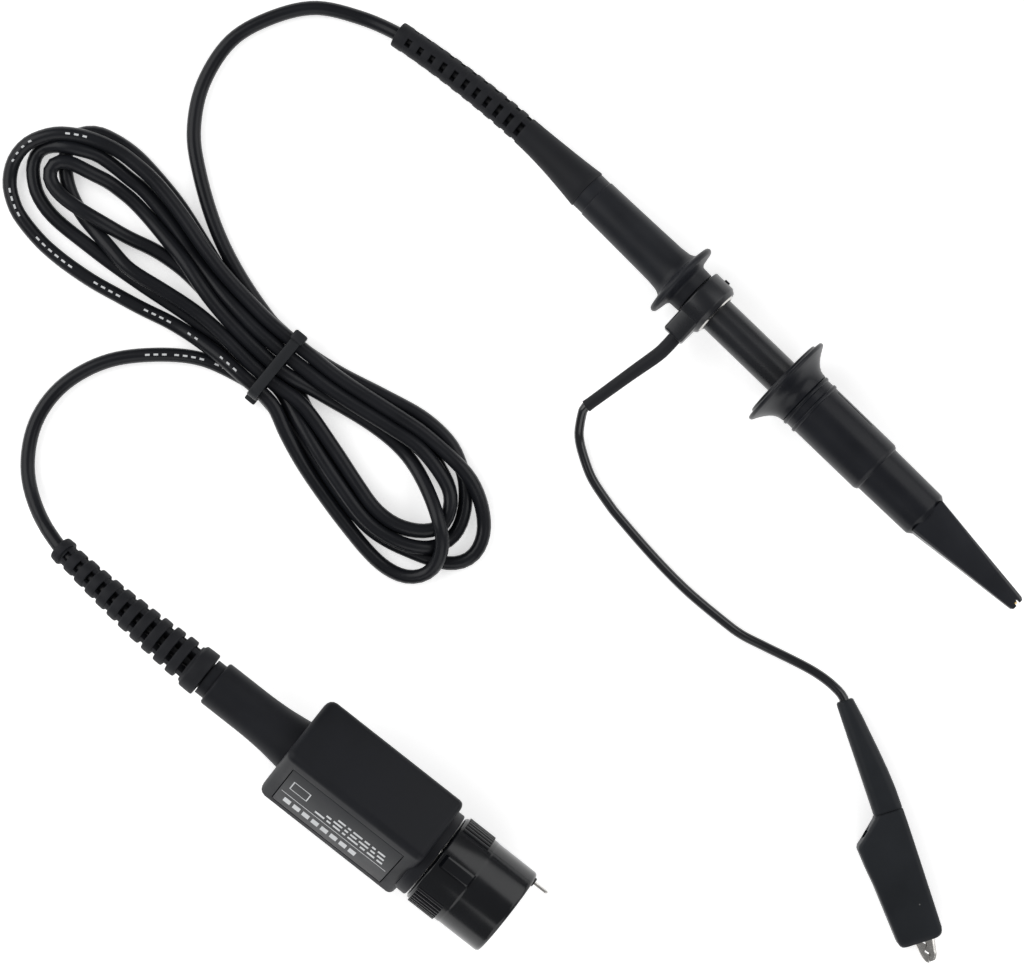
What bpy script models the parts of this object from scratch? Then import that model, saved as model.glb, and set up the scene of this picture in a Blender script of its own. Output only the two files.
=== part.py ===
"""Oscilloscope probe lying on a table: head with a hook tip, ground lead, tied cable and plug box.

Sizes are in millimetres and angles in degrees. MM turns them into Blender's metres.
The layout plane is the table, with +X to the right, +Y away and +Z up.
"""
import math

import bmesh
import bpy
from mathutils import Matrix, Vector

MM = 0.001

# clearances
GAP = 0.3
SLIP = 0.1
EDGE = 0.4
CUT_PAST = 1.0

# head: distances run along its axis from the middle of the flange, forwards to the tip
HEAD_AT = (34.6, 41.6)
HEAD_YAW = -44.2
FLANGE_R = 8.6
FLANGE_T = 2.4
GRIP_LENGTH = 24.1
GRIP_BACK_R = 4.4
GRIP_FRONT_R = 4.8
GRIP_NECK_R = 4.93
GRIP_FRONT = 4.0
GROOVE_L = 2.6
GROOVE_DEPTH = 0.25
SPIGOT_R = 3.0
SPIGOT_L = 7.3
CORE_R = 0.8
BARREL_R = 3.9
BARREL_BORE_R = 2.6
BARREL_SOCKET_L = 10.0
BARREL_FRONT = 46.0
INSULATOR_L = 12.0
NEEDLE_R = 0.5
NEEDLE_OUT = 5.5
NEEDLE_POINT_L = 1.5
NEEDLE_TAIL_L = 2.0

# metal collar and ground ring on the barrel
COLLAR_FRONT = 10.2
COLLAR_R = 4.9
RING_R = 6.1
RING_FLAT_L = 4.6
RING_CHAMFER = 1.0
LUG_REACH = 9.5
LUG_L = 4.8
LUG_H = 5.0
LUG_ROUNDING = 0.6
LUG_SINK = 0.15
NUB_AT = 7.2
NUB_SIZE = 1.6
NUB_HEIGHT = 0.5

# hook tip
FLARE_BACK = 29.5
FLARE_R = 10.7
FLARE_RIM_T = 1.0
FLARE_L = 5.5
FLARE_EASE = 2.2
DISH_L = 3.6
DISH_STEP = (1.2, 2.2)
SLEEVE_NECK_R = 6.1
RIB_R = 6.25
RIB_AT = (35.6, 37.9)
RIB_W = 0.9
SLEEVE_R = 5.88
SLEEVE_STEP = 55.1
SLEEVE_CHAMFER_L = 1.3
SLEEVE_FRONT_R = 5.15
NOSE_BACK = 69.1
NOSE_BASE = 70.2
NOSE_TIP = 95.4
NOSE_BASE_HALF = 4.35
NOSE_TIP_HALF = 1.65
NOSE_FLAT = 0.62
NOSE_WALL = 0.9
NOSE_SINK = 0.6
NOSE_TIP_L = 0.8
CARRIER_BACK = 32.0
CARRIER_WALL = 0.65
STEM_R = 3.6
STEM_L = 10.0
STEM_BORE_R = 0.8
STEM_CLEARANCE = 0.6
CARRIER_HEAD_T = 1.0
SLEEVE_CLEARANCE = 0.35
SHOULDER_AT = 55.5
HOOK_SLOT_HALF = 0.65
HOOK_SLOT_L = 3.4
HOOK_WIRE_R = 0.35
HOOK_BEND_R = 0.5
HOOK_END_GAP = 0.2
HOOK_BARB_L = 1.0
SPRING_TURNS = 3
SPRING_WIRE_R = 0.25
SPRING_SIDE_GAP = 0.65

# strain relief boots
BOOT_WINDOW_ANGLE = 42.0
BOOT_ROWS = 11
BOOT_SLOT = 1.3
BOOT_EDGE = 0.2
HEAD_BOOT_SMOOTH_L = 18.0
HEAD_BOOT_PITCH = 2.9
HEAD_BOOT_FRONT_R = 4.5
HEAD_BOOT_MID_R = 2.95
HEAD_BOOT_END_R = 2.5
HEAD_BOOT_END_L = 1.1
HEAD_BOOT_STRAIGHT = 7.3
HEAD_BOOT_BEND_R = 238.0
HEAD_BOOT_EASE = 1.6
BOX_BOOT_PITCH = 3.26
BOX_BOOT_COLLAR_L = 2.0
BOX_BOOT_COLLAR_RISE = 0.35
BOX_BOOT_FRONT_R = 4.6
BOX_BOOT_END_R = 2.4
BOX_BOOT_END_L = 2.4
BOX_BOOT_BEND_R = 129.0
BOX_BOOT_BEND_TOWARDS = -73.0

# plug box: distances run along its axis back from the front of the locking collar
BOX_AT = (-0.9, -87.5)
BOX_YAW = -38.2
BOX_ROLL = 28.0
BOX_FRONT = 20.7
BOX_LENGTH = 34.7
BOX_HALF_W = 8.15
BOX_HALF_T = 12.5
BOX_CORNER_R = 2.7
BOX_END_INSET = 0.8
BOX_WALL = 1.8
BOX_DISC_R = 10.0
BOX_DISC_STEP = 1.5
STEM_LENGTH = 20.4
BOX_STEM_R = 5.0
BOX_STEM_BASE_R = 5.85
BOX_STEM_FLARE_L = 9.0
BOX_GROOVE_R = 4.05
BOX_GROOVE_L = 2.4
BAY_HALF = 8.5
COVER_T = 1.6
COVER_LEDGE = 1.0
LABEL_FRONT = 24.2
LABEL_L = 28.0
LABEL_HALF = 9.0
LABEL_OFFSET = -0.5
LABEL_T = 0.3
BOARD_T = 1.2
BOARD_MARGIN = 1.6
POST_R = 1.2
POST_INSET = 2.4
TRIMMER_INSET = 17.4
TRIMMER_CLEARANCE = 1.3
TRIMMER_SIZE = 6.0
TRIMMER_H = 3.5
ROTOR_R = 1.4
ROTOR_SINK = 0.9
ROTOR_H = 2.2
ROTOR_SLOT_W = 0.5
ROTOR_SLOT_D = 0.6
RESISTOR_R = 1.1
RESISTOR_L = 6.0
RESISTOR_INSET = 6.9
RESISTOR_CAP_L = 1.2
RESISTOR_WAIST = 0.85

# plug and locking collar
LOCK_LENGTH = 18.5
LOCK_R = 9.8
LOCK_BORE_R = 7.6
LOCK_BORE_L = 12.3
BLOCK_R = 10.7
BLOCK_FROM = 10.1
BLOCK_HALF_ANGLE = 9.0
RIB_RISE_R = 10.9
RIBS_FROM = 11.2
RIBS_TO = 17.7
RIBS_START_ANGLE = 45.0
RIB_PITCH_ANGLE = 8.0
BLOCK_TURN = 6.0
SHELL_R = 4.05
SHELL_BORE_R = 3.3
SHELL_FRONT = 6.0
SHELL_BACK = 26.0
SHELL_FLANGE_R = 5.5
SHELL_FLANGE_T = 1.2
PLUG_INSULATOR_FRONT = 9.0
PLUG_PIN_FRONT = 6.5
PLUG_PIN_BACK = 27.0
NUT_R = 7.25
NUT_BORE_R = 5.6
NUT_FRONT = 1.5
NUT_BACK = 12.0
NUT_SHOULDER_T = 1.1
BAYONET_SLOT_W = 2.2
BAYONET_RISE = 4.0
BAYONET_TURN = 80.0
BAYONET_STEPS = 7
GASKET_T = 0.8
READOUT_AT_R = 8.7
READOUT_ANGLE = 17.0
READOUT_R = 0.4
READOUT_HEAD_R = 0.6
READOUT_OUT = 3.7
READOUT_HEAD_T = 1.0
READOUT_SHOULDER = 3.0
READOUT_BORE_L = 9.0
READOUT_BOSS_R = 1.0
READOUT_BOSS_H = 0.4
READOUT_WIRE_R = 0.12
READOUT_TURNS = 4

# cable, its hank and the tie
CABLE_R = 1.5
CABLE_STEP = 7.0
TIE_AT = (-48.5, 24.0)
TIE_YAW = -39.3
TIE_W = 2.4
TIE_T = 0.9
TIE_HALF = 8.5
TIE_HEIGHT = 8.1
TIE_CORNER_R = 2.2
HANK_CHAMFER = 1.2
STRAND_AT = 5.8
STRAND_L = 4.0
BOOT_POINT_COUNT = 6

# points of the cable's two runs on the layout plane, with their height
HEAD_RUN = [
    (-31.4, 96.1, 2.2), (-40.9, 98.1, 1.6), (-50.4, 95.8, 1.55), (-58.3, 91.0, 1.55),
    (-63.8, 82.3, 1.55), (-65.7, 72.9, 1.55), (-64.6, 64.2, 1.6), (-61.4, 53.1, 1.8),
    (-56.7, 42.8, 2.2), (-50.8, 34.2, 2.6),
]
BOX_RUN = [
    (-97.5, -5.3, 5.0), (-99.7, 3.3, 3.0), (-98.2, 12.8, 1.8), (-93.1, 20.7, 1.55),
    (-84.4, 26.2, 1.55), (-74.1, 27.7, 1.6), (-63.9, 26.4, 2.1),
]

# half outline of the hank along the tie's own axis: place, lower edge, upper edge, bottom, top
HANK_SECTIONS = [
    (-72.0, -0.5, 4.5, 0.0, 3.4), (-70.3, -4.6, 8.8, 0.0, 3.6), (-66.5, -8.3, 12.6, 0.0, 4.2),
    (-60.0, -11.4, 15.2, 0.0, 5.2), (-50.0, -12.3, 15.2, 0.0, 6.2), (-39.0, -12.0, 13.4, 0.0, 6.6),
    (-28.0, -9.9, 10.6, 0.0, 6.8), (-19.0, -7.0, 6.9, 0.3, 6.9), (-14.0, -4.0, 4.0, 1.0, 6.9),
    (-0.15, -4.0, 4.0, 1.2, 6.9), (0.15, -7.3, 7.3, 1.2, 6.9), (2.5, -7.3, 7.3, 1.2, 6.9),
    (8.0, -10.2, 8.3, 0.3, 6.9), (17.0, -13.6, 9.6, 0.0, 6.8), (31.0, -17.3, 12.8, 0.0, 6.6),
    (40.0, -19.2, 11.8, 0.0, 6.0), (46.0, -18.9, 9.0, 0.0, 5.2), (51.5, -16.6, 5.4, 0.0, 4.4),
    (55.5, -12.6, 1.6, 0.0, 3.8), (57.6, -8.0, -2.4, 0.0, 3.4),
]

# ground lead and its clip
LEAD_R = 1.0
LEAD_STEP = 4.5
LEAD_STRAIGHT = 3.0
LEAD_SLEEVE_R = 1.35
SLEEVE_START = (33.4, 29.8, 8.9)
SLEEVE_END = (15.2, 15.7, 4.4)
SLEEVE_SINK = 1.6
LEAD_ROUTE = [
    (13.2, 10.6, 2.2), (13.8, 6.2, 1.3), (16.3, -0.2, 1.05), (20.2, -6.6, 1.05),
    (26.1, -13.5, 1.05), (32.0, -19.9, 1.05), (39.4, -26.8, 1.05), (46.3, -31.7, 1.05),
    (53.1, -34.6, 1.2), (60.0, -37.5, 1.9), (64.8, -40.4, 2.7),
]
CLIP_AT = (68.4, -44.8)
CLIP_YAW = -72.2
CLIP_HALF_H = 3.5
CLIP_WALL = 0.8
CLIP_TAIL_R = 1.73
CLIP_RIGHT = 4.79
CLIP_LEFT = 4.83
CLIP_WING = 6.4
CLIP_WING_AT = 29.2
CLIP_LENGTH = 52.0
CLIP_PIVOT_AT = 35.0
CLIP_PIVOT_SIDE = -0.4
CLIP_PIVOT_R = 0.5
CLIP_PIVOT_HALF = 2.2
CLIP_BOOT_SOFTNESS = 0.72
CLIP_ROOM_SOFTNESS = 0.4
LEVER_WINDOW_R = 1.1
LEVER_WINDOW_SIDE = -4.1
LEAD_BORE_TURN = 1.5
TORSION_WIRE_R = 0.12
TORSION_SIDE = 0.45
TORSION_HALF = 0.55
TORSION_TURNS = 3
JAW_TIP = 57.2
JAW_LINE = 0.4
JAW_TOOTH = 0.35
JAW_TOOTH_COUNT = 10
JAW_SERRATED_FROM = 45.0
JAW_SHEET = 0.4
FIXED_HALF_W = 1.9
MOVING_HALF_W = 1.2

ROUND_SEGMENTS = 24
SMALL_SEGMENTS = 16
FEW_SEGMENTS = 12
TAU = 2 * math.pi


# helpers that make objects

def clear_scene():
    for thing in list(bpy.data.objects):
        bpy.data.objects.remove(thing, do_unlink=True)


def finish(name, colour, roughness, metallic=0.0):
    material = bpy.data.materials.new(name)
    material.use_nodes = True
    shader = material.node_tree.nodes["Principled BSDF"]
    shader.inputs["Base Color"].default_value = (*colour, 1.0)
    shader.inputs["Roughness"].default_value = roughness
    shader.inputs["Metallic"].default_value = metallic
    return material


def frame_empty(name, at, turn=(0.0, 0.0, 0.0), parent=None):
    empty = bpy.data.objects.new(name, None)
    empty.location = Vector(at) * MM
    empty.rotation_euler = [math.radians(angle) for angle in turn]
    empty.parent = parent
    bpy.context.scene.collection.objects.link(empty)
    return empty


def add_object(name, data, parent, material, at=(0.0, 0.0, 0.0)):
    thing = bpy.data.objects.new(name, data)
    thing.location = Vector(at) * MM
    thing.parent = parent
    if material is not None:
        data.materials.append(material)
    bpy.context.scene.collection.objects.link(thing)
    return thing


def mesh_object(name, bm, parent, material, at=(0.0, 0.0, 0.0), sharp_angle=35.0):
    bmesh.ops.remove_doubles(bm, verts=bm.verts, dist=0.002)
    bmesh.ops.recalc_face_normals(bm, faces=bm.faces)
    bmesh.ops.scale(bm, vec=(MM, MM, MM), verts=bm.verts)
    mesh = bpy.data.meshes.new(name)
    bm.to_mesh(mesh)
    bm.free()
    mesh.shade_smooth()
    mesh.set_sharp_from_angle(angle=math.radians(sharp_angle))
    return add_object(name, mesh, parent, material, at)


def lathe(name, profile, parent, material, segments=ROUND_SEGMENTS, at=(0.0, 0.0, 0.0)):
    """Turn a closed outline of (place, radius) points about the X axis."""
    bm = bmesh.new()
    corners = [bm.verts.new((place, 0.0, radius)) for place, radius in profile]
    edges = [bm.edges.new((a, b)) for a, b in zip(corners, corners[1:] + corners[:1])]
    bmesh.ops.spin(bm, geom=corners + edges, cent=(0, 0, 0), axis=(1, 0, 0), angle=TAU,
                   steps=segments, use_merge=True)
    return mesh_object(name, bm, parent, material, at)


def loft(name, sections, parent, material, at=(0.0, 0.0, 0.0), sharp_angle=35.0):
    """Join closed loops of points, one after another, and close both ends."""
    bm = bmesh.new()
    rings = [[bm.verts.new(point) for point in section] for section in sections]
    for near, far in zip(rings, rings[1:]):
        for i in range(len(near)):
            j = (i + 1) % len(near)
            bm.faces.new((near[i], near[j], far[j], far[i]))
    bm.faces.new(rings[0])
    bm.faces.new(rings[-1])
    return mesh_object(name, bm, parent, material, at, sharp_angle)


def block(name, low, high, parent, material, rounding=0.0):
    """Make a box between two corners, with its edges rounded when asked."""
    bm = bmesh.new()
    bmesh.ops.create_cube(bm, size=1.0)
    size = Vector(high) - Vector(low)
    middle = (Vector(high) + Vector(low)) / 2
    bmesh.ops.scale(bm, vec=size, verts=bm.verts)
    bmesh.ops.translate(bm, vec=middle, verts=bm.verts)
    if rounding:
        bmesh.ops.bevel(bm, geom=bm.edges[:], offset=rounding, segments=2, profile=0.5,
                        affect="EDGES")
    return mesh_object(name, bm, parent, material)


def prism(name, outline, half_height, parent, material, at=(0.0, 0.0, 0.0)):
    """Extrude an outline in the XY plane to both sides of it."""
    lower = [(x, y, -half_height) for x, y in outline]
    upper = [(x, y, half_height) for x, y in outline]
    return loft(name, [lower, upper], parent, material, at, sharp_angle=25.0)


def rod(name, start, end, radius, parent, material, segments=SMALL_SEGMENTS):
    """Make a round rod between two points."""
    start, end = Vector(start), Vector(end)
    turn = (end - start).to_track_quat("X", "Z")
    ring = [(0.0, radius * math.cos(TAU * i / segments), radius * math.sin(TAU * i / segments))
            for i in range(segments)]
    sections = [[tuple(centre + turn @ Vector(point)) for point in ring] for centre in (start, end)]
    return loft(name, sections, parent, material)


def tube(name, points, radius, parent, material, resolution=2):
    """Sweep a round wire along points with flat ends."""
    curve = bpy.data.curves.new(name, "CURVE")
    curve.dimensions = "3D"
    curve.bevel_depth = radius * MM
    curve.bevel_resolution = resolution
    curve.use_fill_caps = True
    spline = curve.splines.new("POLY")
    spline.points.add(len(points) - 1)
    for knot, point in zip(spline.points, points):
        knot.co = (*(Vector(point) * MM), 1.0)
    spline.use_smooth = True
    return add_object(name, curve, parent, material)


def boolean(target, tool, operation="DIFFERENCE"):
    """Cut or join a helper shape, which stays hidden."""
    tool.hide_render = True
    tool.display_type = "WIRE"
    step = target.modifiers.new(tool.name, "BOOLEAN")
    step.operation = operation
    step.solver = "EXACT"
    step.object = tool
    return target


# helpers that give points

def arc(centre, radius, start, stop, steps):
    """Points on a circle's arc, angles in degrees."""
    angles = [math.radians(start + (stop - start) * i / steps) for i in range(steps + 1)]
    return [(centre[0] + radius * math.cos(a), centre[1] + radius * math.sin(a)) for a in angles]


def rounded_outline(low, high, radius, steps=3):
    """Outline of a rectangle with round corners, through a plane's two axes."""
    (x0, y0), (x1, y1) = low, high
    r = min(radius, (x1 - x0) / 2 - 0.01, (y1 - y0) / 2 - 0.01)
    points = []
    for corner, start in (((x1 - r, y1 - r), 0), ((x0 + r, y1 - r), 90),
                          ((x0 + r, y0 + r), 180), ((x1 - r, y0 + r), 270)):
        points += arc(corner, r, start, start + 90, steps)
    return points


def smooth_path(points, step):
    """Read evenly spaced points from a smooth curve through a route's own points."""
    route = [Vector(point) for point in points]
    padded = [2 * route[0] - route[1]] + route + [2 * route[-1] - route[-2]]
    fine = []
    for a, b, c, d in zip(padded, padded[1:], padded[2:], padded[3:]):
        for i in range(12):
            t = i / 12
            fine.append(0.5 * ((2 * b) + (c - a) * t + (2 * a - 5 * b + 4 * c - d) * t * t
                               + (3 * b - a - 3 * c + d) * t ** 3))
    fine.append(route[-1])
    lengths = [0.0]
    for a, b in zip(fine, fine[1:]):
        lengths.append(lengths[-1] + (b - a).length)
    count = max(2, round(lengths[-1] / step))
    path, k = [], 0
    for i in range(count + 1):
        want = lengths[-1] * i / count
        while k < len(fine) - 2 and lengths[k + 1] < want:
            k += 1
        span = lengths[k + 1] - lengths[k]
        path.append(fine[k].lerp(fine[k + 1], min(1.0, (want - lengths[k]) / span)))
    return path


def laid_down(points, radius):
    """Keep a cord's path on the table."""
    return [Vector((p.x, p.y, max(p.z, radius + 0.02))) for p in points]


def helix(start, end, radius, turns, per_turn=12):
    """Coil about the X axis from one place to another."""
    count = turns * per_turn
    return [(start + (end - start) * i / count, radius * math.cos(TAU * i / per_turn),
             radius * math.sin(TAU * i / per_turn)) for i in range(count + 1)]


# strain relief boots

def boot_frame(front, bend_start, bend_radius, towards, s):
    """Centre of a boot and its two cross directions, a distance s behind its front end."""
    side = Vector((0.0, math.cos(math.radians(towards)), math.sin(math.radians(towards))))
    ahead = Vector((1.0, 0.0, 0.0))
    turn = max(0.0, s - bend_start) / bend_radius
    centre = ahead * (front - min(s, bend_start) - bend_radius * math.sin(turn))
    centre += side * bend_radius * (1 - math.cos(turn))
    across = ahead * math.sin(turn) + side * math.cos(turn)
    return centre, across, ahead.cross(side)


def slotted_boot(name, outer_rows, inner_rows, slots, bend, parent, material):
    """Skin of a boot whose slots are windows through the wall, four to a row.

    A row is (distance, radius). slots holds pairs of row numbers, outer and inner, where a slot starts.
    """
    facing_up = 90.0 - bend[3]
    angles = []
    for quarter in range(4):
        middle = facing_up + 90.0 * quarter
        angles += [middle - BOOT_WINDOW_ANGLE / 2, middle + BOOT_WINDOW_ANGLE / 2, middle + 45.0]
    count = len(angles)
    bm = bmesh.new()

    def ring(s, radius):
        centre, across, over = boot_frame(*bend, s)
        points = []
        for angle in map(math.radians, angles):
            points.append(centre + radius * (math.cos(angle) * across + math.sin(angle) * over))
        return [bm.verts.new(point) for point in points]

    outer = [ring(s, radius) for s, radius in outer_rows]
    inner = [ring(s, radius) for s, radius in inner_rows]
    window = [j % 3 == 0 for j in range(count)]
    open_outer = {o for o, i in slots}
    open_inner = {i for o, i in slots}
    for rows, open_rows in ((outer, open_outer), (inner, open_inner)):
        for k, (near, far) in enumerate(zip(rows, rows[1:])):
            for j in range(count):
                if not (k in open_rows and window[j]):
                    n = (j + 1) % count
                    bm.faces.new((near[j], near[n], far[n], far[j]))
    for o, i in slots:
        for j in range(count):
            n = (j + 1) % count
            if window[j]:
                for step in (0, 1):
                    bm.faces.new((outer[o + step][j], outer[o + step][n],
                                  inner[i + step][n], inner[i + step][j]))
                for side in (j, n):
                    bm.faces.new((outer[o][side], outer[o + 1][side], inner[i + 1][side], inner[i][side]))
    for end in (0, -1):
        for j in range(count):
            n = (j + 1) % count
            bm.faces.new((outer[end][j], outer[end][n], inner[end][n], inner[end][j]))
    return mesh_object(name, bm, parent, material, sharp_angle=40.0)


def slot_rows(first, pitch, radius_at, outer_rows, inner_rows):
    """Add the rows of every slot and give where each starts."""
    slots = []
    bore = CABLE_R + GAP
    for k in range(BOOT_ROWS):
        start = first + k * pitch
        stop = start + BOOT_SLOT
        slots.append((len(outer_rows), len(inner_rows)))
        outer_rows += [(start, radius_at(start)), (stop, radius_at(stop))]
        inner_rows += [(start, bore), (stop, bore)]
    return slots


def socket_rows():
    """Inner rows at the front of a boot, where it grips its spigot."""
    socket_r = SPIGOT_R + GAP
    return [(0.0, socket_r), (SPIGOT_L + GAP, socket_r), (SPIGOT_L + GAP + EDGE, CABLE_R + GAP)]


def head_boot_bend():
    front = -(GRIP_LENGTH + GROOVE_L)
    return front, HEAD_BOOT_STRAIGHT, HEAD_BOOT_BEND_R, 180.0


def head_boot_length():
    return HEAD_BOOT_SMOOTH_L + BOOT_ROWS * HEAD_BOOT_PITCH + HEAD_BOOT_END_L


def make_head_boot(parent, material):
    length = head_boot_length()
    smooth = HEAD_BOOT_SMOOTH_L

    def radius_at(s):
        if s < smooth:
            ease = (1 - s / smooth) ** HEAD_BOOT_EASE
            return HEAD_BOOT_MID_R + (HEAD_BOOT_FRONT_R - HEAD_BOOT_MID_R) * ease
        return HEAD_BOOT_MID_R + (HEAD_BOOT_END_R - HEAD_BOOT_MID_R) * (s - smooth) / (length - smooth)

    outer = [(0.0, HEAD_BOOT_FRONT_R - EDGE), (EDGE, radius_at(EDGE))]
    outer += [(smooth * part, radius_at(smooth * part)) for part in (0.25, 0.5, 0.75)]
    inner = socket_rows()
    slots = slot_rows(smooth, HEAD_BOOT_PITCH, radius_at, outer, inner)
    outer += [(length - EDGE, HEAD_BOOT_END_R), (length, HEAD_BOOT_END_R - EDGE / 2)]
    inner.append((length, CABLE_R + GAP))
    return slotted_boot("head_boot", outer, inner, slots, head_boot_bend(), parent, material)


def box_boot_bend():
    front = -(BOX_FRONT + BOX_LENGTH + STEM_LENGTH + BOX_GROOVE_L)
    return front, BOX_BOOT_COLLAR_L, BOX_BOOT_BEND_R, BOX_BOOT_BEND_TOWARDS


def box_boot_length():
    return BOX_BOOT_COLLAR_L + BOOT_ROWS * BOX_BOOT_PITCH + BOX_BOOT_END_L


def make_box_boot(parent, material):
    length = box_boot_length()
    rise = BOX_BOOT_COLLAR_RISE

    def radius_at(s):
        return BOX_BOOT_FRONT_R + (BOX_BOOT_END_R - BOX_BOOT_FRONT_R) * s / length

    outer = [(0.0, BOX_BOOT_FRONT_R + rise - EDGE), (EDGE, BOX_BOOT_FRONT_R + rise)]
    outer += [(BOX_BOOT_COLLAR_L, radius_at(BOX_BOOT_COLLAR_L) + rise),
              (BOX_BOOT_COLLAR_L + BOOT_EDGE, radius_at(BOX_BOOT_COLLAR_L))]
    inner = box_socket_rows()
    first = BOX_BOOT_COLLAR_L + BOX_BOOT_PITCH - BOOT_SLOT
    slots = slot_rows(first, BOX_BOOT_PITCH, radius_at, outer, inner)
    end = length - BOX_BOOT_END_L + EDGE
    outer += [(end, radius_at(end)), (end + BOOT_EDGE, radius_at(end) + rise)]
    outer += [(length - EDGE, BOX_BOOT_END_R + rise), (length, BOX_BOOT_END_R + rise - EDGE)]
    inner.append((length, CABLE_R + GAP))
    return slotted_boot("box_boot", outer, inner, slots, box_boot_bend(), parent, material)


def box_socket_rows():
    """The plug box's spigot is short, so that the boot's slots stay clear of it."""
    socket_r = SPIGOT_R + GAP
    socket_l = BOX_BOOT_COLLAR_L + GAP
    return [(0.0, socket_r), (socket_l, socket_r), (socket_l + EDGE, CABLE_R + GAP)]


# head

def make_grip(parent, material):
    back = -GRIP_LENGTH
    groove = back - GROOVE_L + GAP
    groove_r = GRIP_BACK_R - GROOVE_DEPTH
    half = FLANGE_T / 2
    lens = [(-half / 2, FLANGE_R - EDGE), (0.0, FLANGE_R), (half / 2, FLANGE_R - EDGE)]
    outline = [(groove - SPIGOT_L, CORE_R), (groove - SPIGOT_L, SPIGOT_R), (groove, SPIGOT_R),
               (groove, groove_r), (back, groove_r), (back, GRIP_BACK_R),
               (-half - EDGE, GRIP_FRONT_R), (-half, GRIP_FRONT_R + EDGE)]
    outline += lens
    outline += [(half, GRIP_NECK_R + EDGE), (half + EDGE, GRIP_NECK_R), (GRIP_FRONT, GRIP_NECK_R),
                (GRIP_FRONT, BARREL_R + GAP), (-BARREL_SOCKET_L, BARREL_R + GAP),
                (-BARREL_SOCKET_L, CORE_R)]
    return lathe("head_grip", outline, parent, material)


def make_barrel(parent, material):
    back = GAP - BARREL_SOCKET_L
    outline = [(back, BARREL_BORE_R), (back, BARREL_R), (BARREL_FRONT - EDGE, BARREL_R),
               (BARREL_FRONT, BARREL_R - EDGE), (BARREL_FRONT, BARREL_BORE_R)]
    return lathe("probe_barrel", outline, parent, material)


def make_tip_insulator(parent, material):
    back = BARREL_FRONT - INSULATOR_L
    bore = NEEDLE_R + GAP
    radius = BARREL_BORE_R - GAP
    outline = [(back, bore), (back, radius), (BARREL_FRONT, radius), (BARREL_FRONT, bore)]
    return lathe("tip_insulator", outline, parent, material, SMALL_SEGMENTS)


def make_needle(parent, material):
    tip = BARREL_FRONT + NEEDLE_OUT
    back = BARREL_FRONT - INSULATOR_L - NEEDLE_TAIL_L
    outline = [(back, 0.0), (back, NEEDLE_R), (tip - NEEDLE_POINT_L, NEEDLE_R), (tip, 0.0)]
    return lathe("probe_needle", outline, parent, material, SMALL_SEGMENTS)


def make_ground_collar(parent, material):
    back = GRIP_FRONT + GAP
    bore = BARREL_R + GAP
    outline = [(back, bore), (back, COLLAR_R), (COLLAR_FRONT - EDGE, COLLAR_R),
               (COLLAR_FRONT, COLLAR_R - EDGE), (COLLAR_FRONT, bore)]
    return lathe("ground_collar", outline, parent, material)


def make_ground_ring(parent, layout, material):
    back = GRIP_FRONT + GAP
    flat = back + RING_FLAT_L
    bore = COLLAR_R + SLIP
    outline = [(back, bore), (back, RING_R - EDGE), (back + EDGE, RING_R), (flat, RING_R),
               (flat + RING_CHAMFER, bore + EDGE), (flat + RING_CHAMFER, bore)]
    ring = lathe("ground_ring", outline, parent, material)
    lug_root = (bore + RING_R) / 2 - LUG_SINK
    lug = block("lug", (back, -LUG_REACH, -LUG_H / 2), (back + LUG_L, -lug_root, LUG_H / 2),
                parent, None, rounding=LUG_ROUNDING)
    nub = block("nub", (NUB_AT - NUB_SIZE / 2, RING_R - EDGE, -NUB_SIZE / 2),
                (NUB_AT + NUB_SIZE / 2, RING_R + NUB_HEIGHT, NUB_SIZE / 2), parent, None)
    boolean(ring, lug, "UNION")
    boolean(ring, nub, "UNION")
    start, end = Vector(SLEEVE_START), Vector(SLEEVE_END)
    inward = (start - end).normalized()
    socket = rod("lead_socket", start + inward * (SLEEVE_SINK + GAP), end,
                 LEAD_SLEEVE_R + GAP, layout, None)
    return boolean(ring, socket)


# hook tip

def make_sleeve(parent, material):
    rim = FLARE_BACK + FLARE_RIM_T
    neck = FLARE_BACK + FLARE_L
    flare = []
    for part in (0.3, 0.65, 1.0):
        reach = (1 - part) ** FLARE_EASE
        flare.append((rim + (neck - rim) * part, SLEEVE_NECK_R + (FLARE_R - EDGE - SLEEVE_NECK_R) * reach))
    outline = [(FLARE_BACK, 0.0), (FLARE_BACK, FLARE_R), (rim - EDGE, FLARE_R), (rim, FLARE_R - EDGE)]
    outline += flare
    for place in RIB_AT:
        outline += [(place - RIB_W / 2, SLEEVE_R), (place, RIB_R), (place + RIB_W / 2, SLEEVE_R)]
    outline += [(SLEEVE_STEP, SLEEVE_R),
                (SLEEVE_STEP + SLEEVE_CHAMFER_L, SLEEVE_FRONT_R + SLIP), (NOSE_BACK, SLEEVE_FRONT_R),
                (NOSE_BASE, NOSE_BASE_HALF), (NOSE_BASE, 0.0)]
    sleeve = lathe("hook_sleeve", outline, parent, material)
    boolean(sleeve, make_nose(parent), "UNION")
    boolean(sleeve, make_sleeve_cavity(parent))
    past = NOSE_TIP + CUT_PAST
    channel = block("hook_channel", (NOSE_BACK - CUT_PAST, -HOOK_SLOT_HALF, -HOOK_SLOT_HALF),
                    (past, HOOK_SLOT_HALF, HOOK_SLOT_HALF), parent, None)
    slot = block("hook_slot", (NOSE_TIP - HOOK_SLOT_L, -HOOK_SLOT_HALF, -NOSE_BASE_HALF),
                 (past, HOOK_SLOT_HALF, NOSE_BASE_HALF), parent, None)
    boolean(sleeve, channel)
    return boolean(sleeve, slot)


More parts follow.
